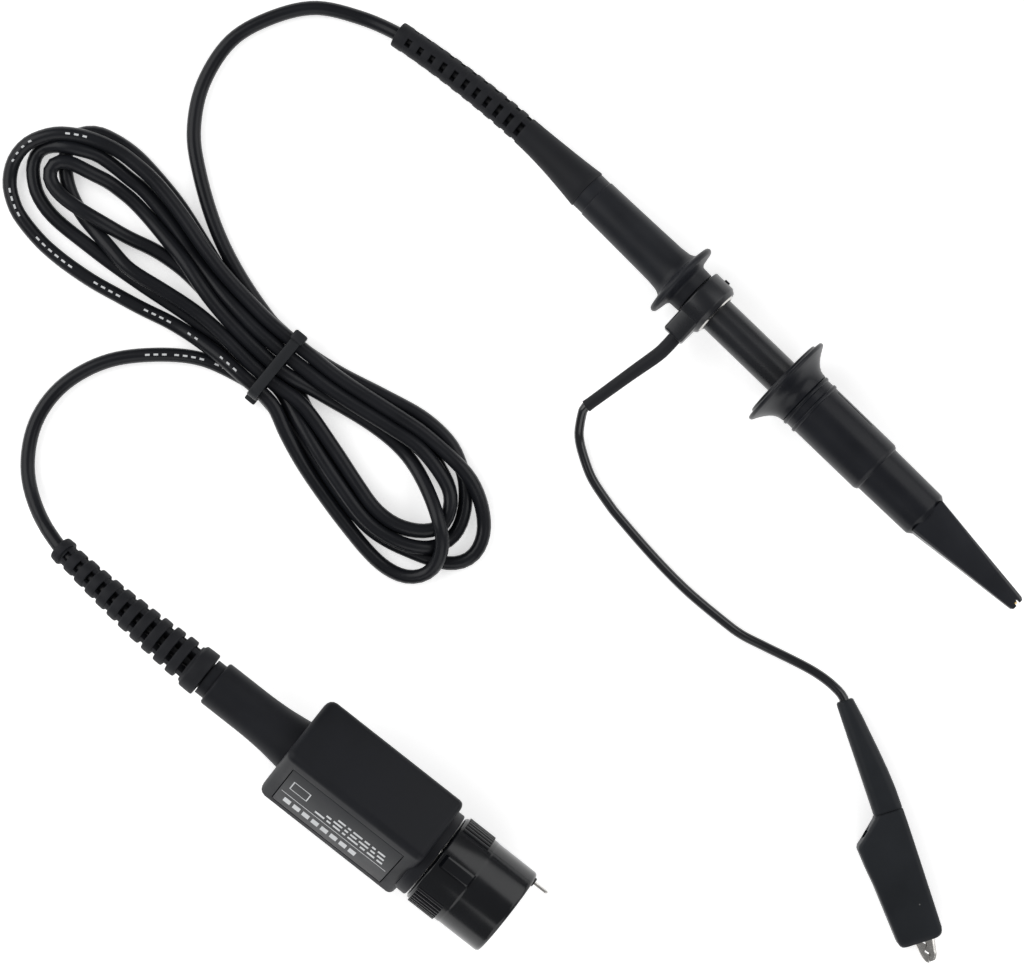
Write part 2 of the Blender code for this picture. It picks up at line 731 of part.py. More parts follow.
def make_nose(parent):
    """Tapering nose with a flat top and sloping side facets."""
    sections = []
    inside = NOSE_BASE - NOSE_SINK
    for place, half in ((inside, NOSE_BASE_HALF - SLIP), (NOSE_TIP - NOSE_TIP_L, NOSE_TIP_HALF + SLIP),
                        (NOSE_TIP, NOSE_TIP_HALF - EDGE)):
        flat, low = half * NOSE_FLAT, half * (1 - NOSE_FLAT)
        corners = [(half, low), (flat, half), (-flat, half), (-half, low),
                   (-half, -low), (-flat, -half), (flat, -half), (half, -low)]
        sections.append([(place, y, z) for y, z in corners])
    return loft("nose", sections, parent, None, sharp_angle=20.0)


def make_sleeve_cavity(parent):
    """Dished back, room for the carrier and its spring, and a narrower front bore."""
    carrier_r = BARREL_R + GAP + CARRIER_WALL + SLEEVE_CLEARANCE
    dish_r = FLARE_R - FLARE_RIM_T
    bore_r = STEM_R + STEM_CLEARANCE
    bore_end = NOSE_BASE - NOSE_WALL
    outline = [(FLARE_BACK - CUT_PAST, 0.0), (FLARE_BACK - CUT_PAST, dish_r), (FLARE_BACK, dish_r),
               (FLARE_BACK + DISH_STEP[0], carrier_r + DISH_STEP[1]), (FLARE_BACK + DISH_L, carrier_r),
               (SHOULDER_AT, carrier_r), (SHOULDER_AT, bore_r), (bore_end, bore_r), (bore_end, 0.0)]
    return lathe("sleeve_cavity", outline, parent, None)


def make_carrier(parent, material):
    bore = BARREL_R + GAP
    radius = bore + CARRIER_WALL
    front = BARREL_FRONT + CARRIER_HEAD_T
    outline = [(CARRIER_BACK, bore), (CARRIER_BACK, radius), (front, radius), (front, STEM_R),
               (front + STEM_L - EDGE, STEM_R), (front + STEM_L, STEM_R - EDGE),
               (front + STEM_L, STEM_BORE_R), (BARREL_FRONT + GAP, STEM_BORE_R),
               (BARREL_FRONT + GAP, bore)]
    return lathe("hook_carrier", outline, parent, material)


def make_hook_wire(parent, material):
    start = BARREL_FRONT + NEEDLE_OUT + GAP
    bend_at = NOSE_TIP - HOOK_BEND_R - HOOK_WIRE_R - HOOK_END_GAP
    points = [(start, 0.0, 0.0)]
    points += [(bend_at + x, 0.0, y - HOOK_BEND_R) for x, y in arc((0, 0), HOOK_BEND_R, 90, -90, 6)]
    points.append((bend_at - HOOK_BARB_L, 0.0, -2 * HOOK_BEND_R))
    return tube("hook_wire", points, HOOK_WIRE_R, parent, material)


def make_hook_spring(parent, material):
    inset = SLIP + SPRING_WIRE_R
    start = BARREL_FRONT + CARRIER_HEAD_T + inset
    coil = helix(start, SHOULDER_AT - inset, STEM_R + SPRING_SIDE_GAP + SPRING_WIRE_R, SPRING_TURNS)
    return tube("hook_spring", coil, SPRING_WIRE_R, parent, material, resolution=0)


# plug box

def make_box_body(rolled, material):
    back = -(BOX_FRONT + BOX_LENGTH)
    front = -BOX_FRONT
    sections = []
    for place, inset in ((back, BOX_END_INSET), (back + BOX_END_INSET, 0.0),
                         (front - BOX_END_INSET, 0.0), (front, BOX_END_INSET)):
        outline = rounded_outline((inset - BOX_HALF_W, inset - BOX_HALF_T),
                                  (BOX_HALF_W - inset, BOX_HALF_T - inset), BOX_CORNER_R - inset / 2)
        sections.append([(place, y, z) for y, z in outline])
    body = loft("box_body", sections, rolled, material)
    boolean(body, make_box_stem(rolled), "UNION")
    disc_front = -(LOCK_LENGTH + GAP)
    sunk = front - BOX_WALL / 2
    outline = [(sunk, 0.0), (sunk, BOX_DISC_R - BOX_DISC_STEP), (front, BOX_DISC_R),
               (disc_front - EDGE / 2, BOX_DISC_R), (disc_front, BOX_DISC_R - EDGE / 2), (disc_front, 0.0)]
    boolean(body, lathe("front_disc", outline, rolled, None), "UNION")
    inside = (back + BOX_WALL, front - BOX_WALL)
    floor = BOX_WALL - BOX_HALF_W
    boolean(body, block("bay", (inside[0], floor, -BAY_HALF), (inside[1], BOX_HALF_W + CUT_PAST, BAY_HALF),
                        rolled, None))
    ledge = COVER_LEDGE
    rebate_floor = BOX_HALF_W - COVER_T - GAP
    boolean(body, block("cover_rebate", (inside[0] - ledge, rebate_floor, -BAY_HALF - ledge),
                        (inside[1] + ledge, BOX_HALF_W + CUT_PAST, BAY_HALF + ledge), rolled, None))
    boolean(body, block("label_recess", (-LABEL_FRONT - LABEL_L - GAP, -BOX_HALF_W - CUT_PAST,
                                         LABEL_OFFSET - LABEL_HALF - GAP),
                        (-LABEL_FRONT + GAP, -BOX_HALF_W + LABEL_T + GAP,
                         LABEL_OFFSET + LABEL_HALF + GAP), rolled, None))
    boolean(body, rod("shell_bore", (inside[1] - CUT_PAST, 0, 0), (disc_front + CUT_PAST, 0, 0),
                      SHELL_R + GAP, rolled, None, ROUND_SEGMENTS))
    for k, (x, z) in enumerate(post_places(inside)):
        boolean(body, rod(f"post_{k}", (x, floor - BOX_WALL / 3, z), (x, floor + post_height(), z), POST_R,
                          rolled, None, 8), "UNION")
    return body


def post_places(inside):
    """Where the posts under the circuit board stand."""
    return [(x, z) for x in (inside[0] + POST_INSET, inside[1] - POST_INSET)
            for z in (POST_INSET - BAY_HALF, BAY_HALF - POST_INSET)]


def make_box_stem(rolled):
    """Round stem behind the box, with a groove and the spigot that the boot grips."""
    base = -(BOX_FRONT + BOX_LENGTH)
    start = base - STEM_LENGTH
    groove = start - BOX_GROOVE_L + GAP
    spigot = groove - BOX_BOOT_COLLAR_L
    outline = [(spigot, 0.0), (spigot, SPIGOT_R), (groove, SPIGOT_R), (groove, BOX_GROOVE_R),
               (start, BOX_GROOVE_R), (start, BOX_STEM_R - EDGE), (start + EDGE, BOX_STEM_R),
               (base - BOX_STEM_FLARE_L, BOX_STEM_R)]
    for part in (0.4, 0.7, 1.0):
        flare = BOX_STEM_R + (BOX_STEM_BASE_R - BOX_STEM_R) * part ** 2
        outline.append((base - BOX_STEM_FLARE_L * (1 - part), flare))
    outline += [(base + BOX_WALL / 2, BOX_STEM_BASE_R), (base + BOX_WALL / 2, 0.0)]
    return lathe("box_stem", outline, rolled, None)


def make_box_cover(rolled, material):
    back = -(BOX_FRONT + BOX_LENGTH) + BOX_WALL - COVER_LEDGE + GAP
    front = -BOX_FRONT - BOX_WALL + COVER_LEDGE - GAP
    half = BAY_HALF + COVER_LEDGE - GAP
    cover = block("box_cover", (back, BOX_HALF_W - COVER_T, -half), (front, BOX_HALF_W, half),
                  rolled, material)
    hole = rod("trimmer_hole", (trimmer_at(), BOX_HALF_W - COVER_T - CUT_PAST, 0),
               (trimmer_at(), BOX_HALF_W + CUT_PAST, 0), ROTOR_R + GAP, rolled, None)
    return boolean(cover, hole)


def make_label_plate(rolled, material):
    return block("label_plate", (-LABEL_FRONT - LABEL_L, -BOX_HALF_W, LABEL_OFFSET - LABEL_HALF),
                 (-LABEL_FRONT, -BOX_HALF_W + LABEL_T, LABEL_OFFSET + LABEL_HALF), rolled, material)


def trimmer_at():
    """Place of the trimmer, which lies in the middle of the box's length."""
    return TRIMMER_INSET - BOX_FRONT - BOX_LENGTH


def post_height():
    """Height that leaves the trimmer clear of the cover."""
    depth = 2 * BOX_HALF_W - BOX_WALL - COVER_T
    stack = 2 * GAP + BOARD_T + TRIMMER_H + ROTOR_H - ROTOR_SINK
    return depth - stack - TRIMMER_CLEARANCE


def board_top():
    return BOX_WALL - BOX_HALF_W + post_height() + GAP + BOARD_T


def make_circuit_board(rolled, material):
    back = -(BOX_FRONT + BOX_LENGTH) + BOX_WALL + GAP
    front = -SHELL_BACK - BOARD_MARGIN
    half = BAY_HALF - GAP
    return block("circuit_board", (back, board_top() - BOARD_T, -half), (front, board_top(), half),
                 rolled, material)


def make_trimmer(rolled, body_material, rotor_material):
    low = board_top() + GAP
    half = TRIMMER_SIZE / 2
    body = block("trimmer_body", (trimmer_at() - half, low, -half),
                 (trimmer_at() + half, low + TRIMMER_H, half), rolled, body_material)
    recess = rod("rotor_recess", (trimmer_at(), low + TRIMMER_H - ROTOR_SINK - SLIP, 0),
                 (trimmer_at(), low + TRIMMER_H + CUT_PAST, 0), ROTOR_R + SLIP, rolled, None)
    boolean(body, recess)
    base = low + TRIMMER_H - ROTOR_SINK
    axis = frame_empty("trimmer_axis", (trimmer_at(), base, 0.0), parent=rolled)
    rotor = rod("trimmer_rotor", (0, 0, 0), (0, ROTOR_H, 0), ROTOR_R, axis, rotor_material)
    slot = block("driver_slot", (-ROTOR_R - CUT_PAST, ROTOR_H - ROTOR_SLOT_D, -ROTOR_SLOT_W / 2),
                 (ROTOR_R + CUT_PAST, ROTOR_H + CUT_PAST, ROTOR_SLOT_W / 2), axis, None)
    boolean(rotor, slot)
    return body, rotor


def make_resistor(rolled, material):
    low = board_top() + GAP
    middle = RESISTOR_INSET - BOX_FRONT - BOX_LENGTH
    back, front = middle - RESISTOR_L / 2, middle + RESISTOR_L / 2
    waist = RESISTOR_R * RESISTOR_WAIST
    cap, neck = RESISTOR_CAP_L, RESISTOR_CAP_L + EDGE
    outline = [(back, 0.0), (back, RESISTOR_R - EDGE), (back + EDGE, RESISTOR_R),
               (back + cap, RESISTOR_R), (back + neck, waist), (front - neck, waist),
               (front - cap, RESISTOR_R), (front - EDGE, RESISTOR_R), (front, RESISTOR_R - EDGE),
               (front, 0.0)]
    return lathe("series_resistor", outline, rolled, material, SMALL_SEGMENTS, at=(0, low + RESISTOR_R, 0))


# plug

def make_plug_shell(parent, material):
    seat = -BOX_FRONT - BOX_WALL - GAP
    outline = [(-SHELL_BACK, SHELL_BORE_R), (-SHELL_BACK, SHELL_R), (seat - SHELL_FLANGE_T, SHELL_R),
               (seat - SHELL_FLANGE_T, SHELL_FLANGE_R), (seat, SHELL_FLANGE_R), (seat, SHELL_R),
               (-SHELL_FRONT - EDGE, SHELL_R), (-SHELL_FRONT, SHELL_R - EDGE),
               (-SHELL_FRONT, SHELL_BORE_R)]
    return lathe("plug_shell", outline, parent, material)


def make_plug_insulator(parent, material):
    bore = NEEDLE_R + GAP
    radius = SHELL_BORE_R - GAP
    outline = [(-SHELL_BACK, bore), (-SHELL_BACK, radius), (-PLUG_INSULATOR_FRONT, radius),
               (-PLUG_INSULATOR_FRONT, bore)]
    return lathe("plug_insulator", outline, parent, material, SMALL_SEGMENTS)


def make_plug_pin(parent, material):
    outline = [(-PLUG_PIN_BACK, 0.0), (-PLUG_PIN_BACK, NEEDLE_R), (-PLUG_PIN_FRONT - EDGE, NEEDLE_R),
               (-PLUG_PIN_FRONT, NEEDLE_R - EDGE), (-PLUG_PIN_FRONT, 0.0)]
    return lathe("plug_centre_pin", outline, parent, material, SMALL_SEGMENTS)


def make_bayonet_nut(parent, material):
    shoulder = -NUT_BACK + NUT_SHOULDER_T
    outline = [(-NUT_BACK, SHELL_R + GAP), (-NUT_BACK, NUT_R), (-NUT_FRONT - EDGE, NUT_R),
               (-NUT_FRONT, NUT_R - EDGE), (-NUT_FRONT, NUT_BORE_R), (shoulder, NUT_BORE_R),
               (shoulder, SHELL_R + GAP)]
    nut = lathe("bayonet_nut", outline, parent, material)
    for k in range(2):
        boolean(nut, make_bayonet_slot(parent, k, 180.0 * k))
    return nut


def make_bayonet_slot(parent, number, turn):
    """Cam slot: in from the front, then a quarter turn that draws the socket's lug in."""
    sections = []
    half = BAYONET_SLOT_W / 2
    low, high = NUT_BORE_R - CUT_PAST / 2, NUT_R + CUT_PAST / 2
    for i in range(BAYONET_STEPS + 1):
        part = i / BAYONET_STEPS
        angle = math.radians(turn + BAYONET_TURN * part)
        place = -NUT_FRONT - half - EDGE - BAYONET_RISE * part
        corners = []
        for x, r in ((place - half, low), (place - half, high), (place + half, high), (place + half, low)):
            if i == 0 and x > place:
                x = -NUT_FRONT + CUT_PAST
            corners.append((x, r * math.cos(angle), r * math.sin(angle)))
        sections.append(corners)
    return loft(f"bayonet_slot_{number}", sections, parent, None)


def make_gasket(parent, material):
    back = -NUT_BACK + NUT_SHOULDER_T + GAP
    outline = [(back, SHELL_R + GAP), (back, NUT_BORE_R - GAP), (back + GASKET_T, NUT_BORE_R - GAP),
               (back + GASKET_T, SHELL_R + GAP)]
    return lathe("plug_gasket", outline, parent, material, SMALL_SEGMENTS)


def lock_radius(place, angle):
    """Radius of the locking collar's outer side, with a smooth block and ribbed zones."""
    from_block = abs((angle + 90.0) % 180.0 - 90.0)
    back = -place
    if back < EDGE / 2 or back > LOCK_LENGTH - EDGE / 4:
        return LOCK_R - EDGE
    if from_block < BLOCK_HALF_ANGLE and BLOCK_FROM + EDGE / 2 < back < RIBS_TO - EDGE:
        return BLOCK_R
    in_ribs = RIBS_FROM + EDGE / 2 < back < RIBS_TO - EDGE / 2
    if in_ribs and from_block > RIBS_START_ANGLE and round(2 * from_block / RIB_PITCH_ANGLE) % 2 == 0:
        return RIB_RISE_R
    return LOCK_R + SLIP if back > RIBS_FROM else LOCK_R


def make_lock_collar(parent, material):
    """Cup with ribbed zones. The rings that cross the ribs have three times the points of the others."""
    bore = SHELL_R + GAP + SLIP
    rings = [(EDGE, True, False), (BLOCK_FROM, True, True), (BLOCK_FROM + EDGE, True, True),
             (RIBS_FROM, True, True), (RIBS_FROM + EDGE, True, True), (RIBS_TO - EDGE, True, True),
             (RIBS_TO, True, True), (LOCK_LENGTH - EDGE / 2, True, False), (LOCK_LENGTH, True, False),
             (LOCK_LENGTH, bore, False), (LOCK_BORE_L, bore, False), (LOCK_BORE_L, LOCK_BORE_R, False),
             (0.0, LOCK_BORE_R, False), (0.0, True, False)]
    fine = round(360.0 * 2 / RIB_PITCH_ANGLE)
    bm = bmesh.new()
    loops = []
    for back, radius, is_fine in rings:
        loop = []
        for i in range(0, fine, 1 if is_fine else 3):
            angle = 360.0 * i / fine
            turn = math.radians(90.0 - BLOCK_TURN + angle)
            r = lock_radius(-back, angle) if radius is True else radius
            loop.append(bm.verts.new((-back, r * math.cos(turn), r * math.sin(turn))))
        loops.append(loop)
    for near, far in zip(loops, loops[1:] + loops[:1]):
        bridge_rings(bm, near, far)
    bmesh.ops.triangulate(bm, faces=bm.faces)
    collar = mesh_object("lock_collar", bm, parent, material, sharp_angle=30.0)
    y, z = readout_place()
    boss = rod("readout_boss", (-EDGE, y, z), (READOUT_BOSS_H, y, z), READOUT_BOSS_R, parent, None)
    boolean(collar, boss, "UNION")
    hole = rod("readout_hole", (-READOUT_SHOULDER - EDGE, y, z), (CUT_PAST, y, z), READOUT_R + SLIP,
               parent, None)
    bore_tool = rod("readout_bore", (-READOUT_BORE_L, y, z), (-READOUT_SHOULDER, y, z),
                    READOUT_HEAD_R + SLIP, parent, None)
    boolean(collar, hole)
    return boolean(collar, bore_tool)


def bridge_rings(bm, near, far):
    """Close the band between two rings, one of which may have three times the points."""
    count = min(len(near), len(far))
    for i in range(count):
        edges = []
        for ring in (near, far):
            share = len(ring) // count
            edges.append([ring[(i * share + k) % len(ring)] for k in range(share + 1)])
        bm.faces.new(edges[0] + edges[1][::-1])


def readout_place():
    angle = math.radians(READOUT_ANGLE)
    return READOUT_AT_R * math.cos(angle), READOUT_AT_R * math.sin(angle)


def make_readout_pin(parent, material):
    y, z = readout_place()
    front = -READOUT_SHOULDER - GAP
    back = front - READOUT_HEAD_T
    outline = [(back, 0.0), (back, READOUT_HEAD_R), (front, READOUT_HEAD_R), (front, READOUT_R),
               (READOUT_OUT - READOUT_R, READOUT_R), (READOUT_OUT, READOUT_R / 2), (READOUT_OUT, 0.0)]
    axis = frame_empty("readout_axis", (0.0, y, z), parent=parent)
    return lathe("readout_pin", outline, axis, material, SMALL_SEGMENTS)


def make_readout_spring(parent, material):
    y, z = readout_place()
    front = -READOUT_SHOULDER - GAP - READOUT_HEAD_T - SLIP - READOUT_WIRE_R
    back = -READOUT_BORE_L + SLIP + READOUT_WIRE_R
    coil = helix(back, front, READOUT_HEAD_R - READOUT_WIRE_R, READOUT_TURNS, per_turn=6)
    spring = tube("readout_spring", coil, READOUT_WIRE_R, parent, material, resolution=0)
    spring.location = Vector((0.0, y, z)) * MM
    return spring


# cable, hank and tie

def make_tie(parent, material):
    outer = rounded_outline((-TIE_HALF, 0.0), (TIE_HALF, TIE_HEIGHT), TIE_CORNER_R)
    inner = rounded_outline((TIE_T - TIE_HALF, TIE_T), (TIE_HALF - TIE_T, TIE_HEIGHT - TIE_T),
                            TIE_CORNER_R - TIE_T)
    half = TIE_W / 2
    bm = bmesh.new()
    rings = []
    for x, loop in ((-half, outer), (half, outer), (half, inner), (-half, inner)):
        rings.append([bm.verts.new((x, y, z)) for y, z in loop])
    for near, far in zip(rings, rings[1:] + rings[:1]):
        for i in range(len(near)):
            j = (i + 1) % len(near)
            bm.faces.new((near[i], near[j], far[j], far[i]))
    return mesh_object("cable_tie", bm, parent, material)


def make_hank(parent, material):
    sections = []
    for x, low, high, bottom, top in HANK_SECTIONS:
        c = min(HANK_CHAMFER, (top - bottom) / 3, (high - low) / 3)
        corners = [(low, bottom + c), (low + c, bottom), (high - c, bottom), (high, bottom + c),
                   (high, top - c), (high - c, top), (low + c, top), (low, top - c)]
        sections.append([(x, y, z) for y, z in corners])
    return loft("cable_hank", sections, parent, material)


def run_from_boot(axis_matrix, bend, boot_length, inside):
    """Points along a boot's middle, from inside it to its end, on the layout."""
    points = []
    for i in range(BOOT_POINT_COUNT + 1):
        s = inside + (boot_length - inside) * i / BOOT_POINT_COUNT
        centre, across, over = boot_frame(*bend, s)
        points.append(axis_matrix @ centre)
    return points


def placed(at, turn):
    """Placement matrix in millimetres, turned about X, then Y, then Z."""
    x, y, z = [math.radians(angle) for angle in turn]
    spin = Matrix.Rotation(z, 4, "Z") @ Matrix.Rotation(y, 4, "Y") @ Matrix.Rotation(x, 4, "X")
    return Matrix.Translation(Vector(at)) @ spin


def make_cables(layout, head_place, box_place, tie_place, material):
    strand_z = TIE_T + GAP + CABLE_R
    for name, place, bend, length, inside, route, side in (
            ("cable_head_run", head_place, head_boot_bend(), head_boot_length(),
             SPIGOT_L, HEAD_RUN, STRAND_AT),
            ("cable_box_run", box_place, box_boot_bend(), box_boot_length(),
             BOX_BOOT_COLLAR_L, BOX_RUN, -STRAND_AT)):
        points = run_from_boot(place, bend, length, inside)
        points += [Vector(point) for point in route]
        points += [tie_place @ Vector((x, side, strand_z)) for x in (-STRAND_L, -GAP / 2)]
        path = laid_down(smooth_path(points, CABLE_STEP), CABLE_R)
        tube(name, path, CABLE_R, layout, material)


# ground lead and clip

def make_lead(layout, clip_place, sleeve_material, lead_material):
    start, end = Vector(SLEEVE_START), Vector(SLEEVE_END)
    inward = (start - end).normalized()
    tube("lead_sleeve", [start + inward * SLEEVE_SINK, start, start.lerp(end, 0.5), end],
         LEAD_SLEEVE_R, layout, sleeve_material)
    points = [end - inward * GAP, end - inward * LEAD_STRAIGHT] + [Vector(point) for point in LEAD_ROUTE]
    points += [clip_place @ Vector((x, 0.0, 0.0)) for x in (-2 * LEAD_R, -GAP)]
    path = laid_down(smooth_path(points, LEAD_STEP), LEAD_R)
    tube("ground_lead", path, LEAD_R, layout, lead_material)


def clip_sections(rows, softness):
    """Rounded sections of the clip's boot: place, reach to the right and left, half height."""
    sections = []
    for place, right, left, half in rows:
        radius = min(half, (right + left) / 2) * (1.0 if place == 0 else softness)
        outline = rounded_outline((-left, -half), (right, half), radius)
        sections.append([(place, y, z) for y, z in outline])
    return sections


def make_clip_boot(parent, material):
    h = CLIP_HALF_H
    wing = CLIP_WING_AT
    rows = [(0.0, CLIP_TAIL_R, CLIP_TAIL_R, CLIP_TAIL_R), (10.4, 3.06, 1.6, 2.6),
            (19.8, 4.34, 1.42, 3.2), (wing - 5.0, 4.6, 1.36, h - 0.1), (wing - 3.6, 4.66, 2.6, h),
            (wing - 1.3, 4.7, CLIP_WING - 0.3, h), (wing, 4.72, CLIP_WING, h),
            (wing + 9.0, 4.75, CLIP_WING - 0.65, h), (CLIP_LENGTH - 0.9, CLIP_RIGHT, CLIP_LEFT, h),
            (CLIP_LENGTH, CLIP_RIGHT - 0.6, CLIP_LEFT - 0.6, h - 0.6)]
    boot = loft("clip_boot", clip_sections(rows, CLIP_BOOT_SOFTNESS), parent, material)
    w = CLIP_WALL
    room = [(wing - 2.3, 3.85, CLIP_WING - 2.0, 2.5), (wing + 0.3, 4.72 - w, CLIP_WING - w, h - w),
            (wing + 9.0, 4.75 - w, CLIP_WING - 0.65 - w, h - w),
            (CLIP_LENGTH + 1.0, CLIP_RIGHT - w, CLIP_LEFT - w, h - w)]
    boolean(boot, loft("clip_room", clip_sections(room, CLIP_ROOM_SOFTNESS), parent, None))
    boolean(boot, rod("lead_bore", (-CUT_PAST, 0.0, 0.0), (wing - CUT_PAST, LEAD_BORE_TURN, 0.0), LEAD_R,
                      parent, None, FEW_SEGMENTS))
    window = rod("lever_window", (wing - CLIP_WING, LEVER_WINDOW_SIDE, 0.0),
                 (wing + CUT_PAST, LEVER_WINDOW_SIDE, 0.0), LEVER_WINDOW_R, parent, None, FEW_SEGMENTS)
    return boolean(boot, window)


def teeth(side):
    """Serrated edge of a jaw from its root to its tip."""
    pitch = (JAW_TIP - EDGE - JAW_SERRATED_FROM) / JAW_TOOTH_COUNT
    line = JAW_LINE + side * SLIP
    points = []
    for k in range(JAW_TOOTH_COUNT):
        x = JAW_SERRATED_FROM + k * pitch
        points += [(x, line + side * JAW_TOOTH), (x + pitch / 2, line)]
    points.append((JAW_TIP - EDGE, line + side * JAW_TOOTH))
    return points


def pivot_hole(jaw, parent, name, half_width):
    hole = rod(name, (CLIP_PIVOT_AT, CLIP_PIVOT_SIDE, -half_width - CUT_PAST),
               (CLIP_PIVOT_AT, CLIP_PIVOT_SIDE, half_width + CUT_PAST), CLIP_PIVOT_R + SLIP,
               parent, None, FEW_SEGMENTS)
    return boolean(jaw, hole)


def make_fixed_jaw(parent, material):
    back = CLIP_WING_AT - 1.2
    outer = [(JAW_TIP, 1.5), (JAW_TIP - 0.6, 2.3), (CLIP_LENGTH, 2.5), (45.0, 3.4), (back, 3.3)]
    inner = [(back, 1.6), (CLIP_PIVOT_AT - 3.0, -1.4), (CLIP_PIVOT_AT + 2.6, -1.4), (43.0, 0.9)]
    jaw = prism("clip_fixed_jaw", inner + teeth(1) + outer, FIXED_HALF_W, parent, material)
    channel = [(back - 1.0, -3.0), (JAW_TIP - 1.2, -3.0), (JAW_TIP - 1.2, 1.7), (CLIP_LENGTH, 2.05),
               (45.0, 3.05), (back - 1.0, 3.05)]
    boolean(jaw, prism("fixed_channel", channel, FIXED_HALF_W - JAW_SHEET, parent, None))
    return pivot_hole(jaw, parent, "fixed_pivot_hole", FIXED_HALF_W)


def make_moving_jaw(parent, material):
    """Modelled about the pivot, so that its origin lies on the hinge."""
    lever = CLIP_WING_AT - 0.6
    tip = [(JAW_TIP, -0.6), (JAW_TIP - 0.6, -1.4), (CLIP_LENGTH, -1.6), (45.0, -2.5), (36.0, -3.4),
           (lever + 1.4, -4.9), (lever, -4.9)]
    back = [(lever, -4.3), (lever + 1.6, -4.2), (CLIP_PIVOT_AT - 2.2, -0.6), (CLIP_PIVOT_AT - 1.4, 0.9),
            (CLIP_PIVOT_AT + 2.6, 0.9), (43.0, -0.2)]
    jaw = prism("clip_moving_jaw", back + teeth(-1) + tip, MOVING_HALF_W, parent, material)
    channel = [(lever + 2.0, -4.3), (36.0, -2.95), (45.0, -2.05), (CLIP_LENGTH, -1.15),
               (JAW_TIP - 1.2, -0.95), (JAW_TIP - 1.2, 3.0), (lever + 2.0, 3.0)]
    boolean(jaw, prism("moving_channel", channel, MOVING_HALF_W - JAW_SHEET, parent, None))
    return pivot_hole(jaw, parent, "moving_pivot_hole", MOVING_HALF_W)


def make_clip_spring(parent, material):
    turns = helix(-TORSION_HALF, TORSION_HALF, CLIP_PIVOT_R + TORSION_SIDE, TORSION_TURNS, 8)
    coil = [(CLIP_PIVOT_AT + y, CLIP_PIVOT_SIDE + z, x) for x, y, z in turns]
    return tube("clip_spring", coil, TORSION_WIRE_R, parent, material, resolution=0)


def make_clip_pivot(parent, material):
    ends = [(CLIP_PIVOT_AT, CLIP_PIVOT_SIDE, z) for z in (-CLIP_PIVOT_HALF, CLIP_PIVOT_HALF)]
    return rod("clip_pivot", *ends, CLIP_PIVOT_R, parent, material)


# placing

def box_axis_height():
    """Height at which the rolled box stands on its lower edge."""
    roll = math.radians(BOX_ROLL)
    r = BOX_CORNER_R
    return (BOX_HALF_T - r) * math.cos(roll) + (BOX_HALF_W - r) * math.sin(roll) + r


def stand_in_middle(layout, left_out):
    """Move the layout so that the probe's own pieces stand over the origin."""
    bpy.context.view_layer.update()
    depsgraph = bpy.context.evaluated_depsgraph_get()
    corners = []
    for thing in bpy.data.objects:
        if thing.type != "EMPTY" and not thing.hide_render and thing.name not in left_out:
            solid = thing.evaluated_get(depsgraph)
            mesh = solid.to_mesh()
            corners += [solid.matrix_world @ vertex.co for vertex in mesh.vertices]
            solid.to_mesh_clear()
    low = [min(corner[i] for corner in corners) for i in range(3)]
    high = [max(corner[i] for corner in corners) for i in range(3)]
    layout.location = (-(low[0] + high[0]) / 2, -(low[1] + high[1]) / 2, -low[2])
    bpy.context.view_layer.update()


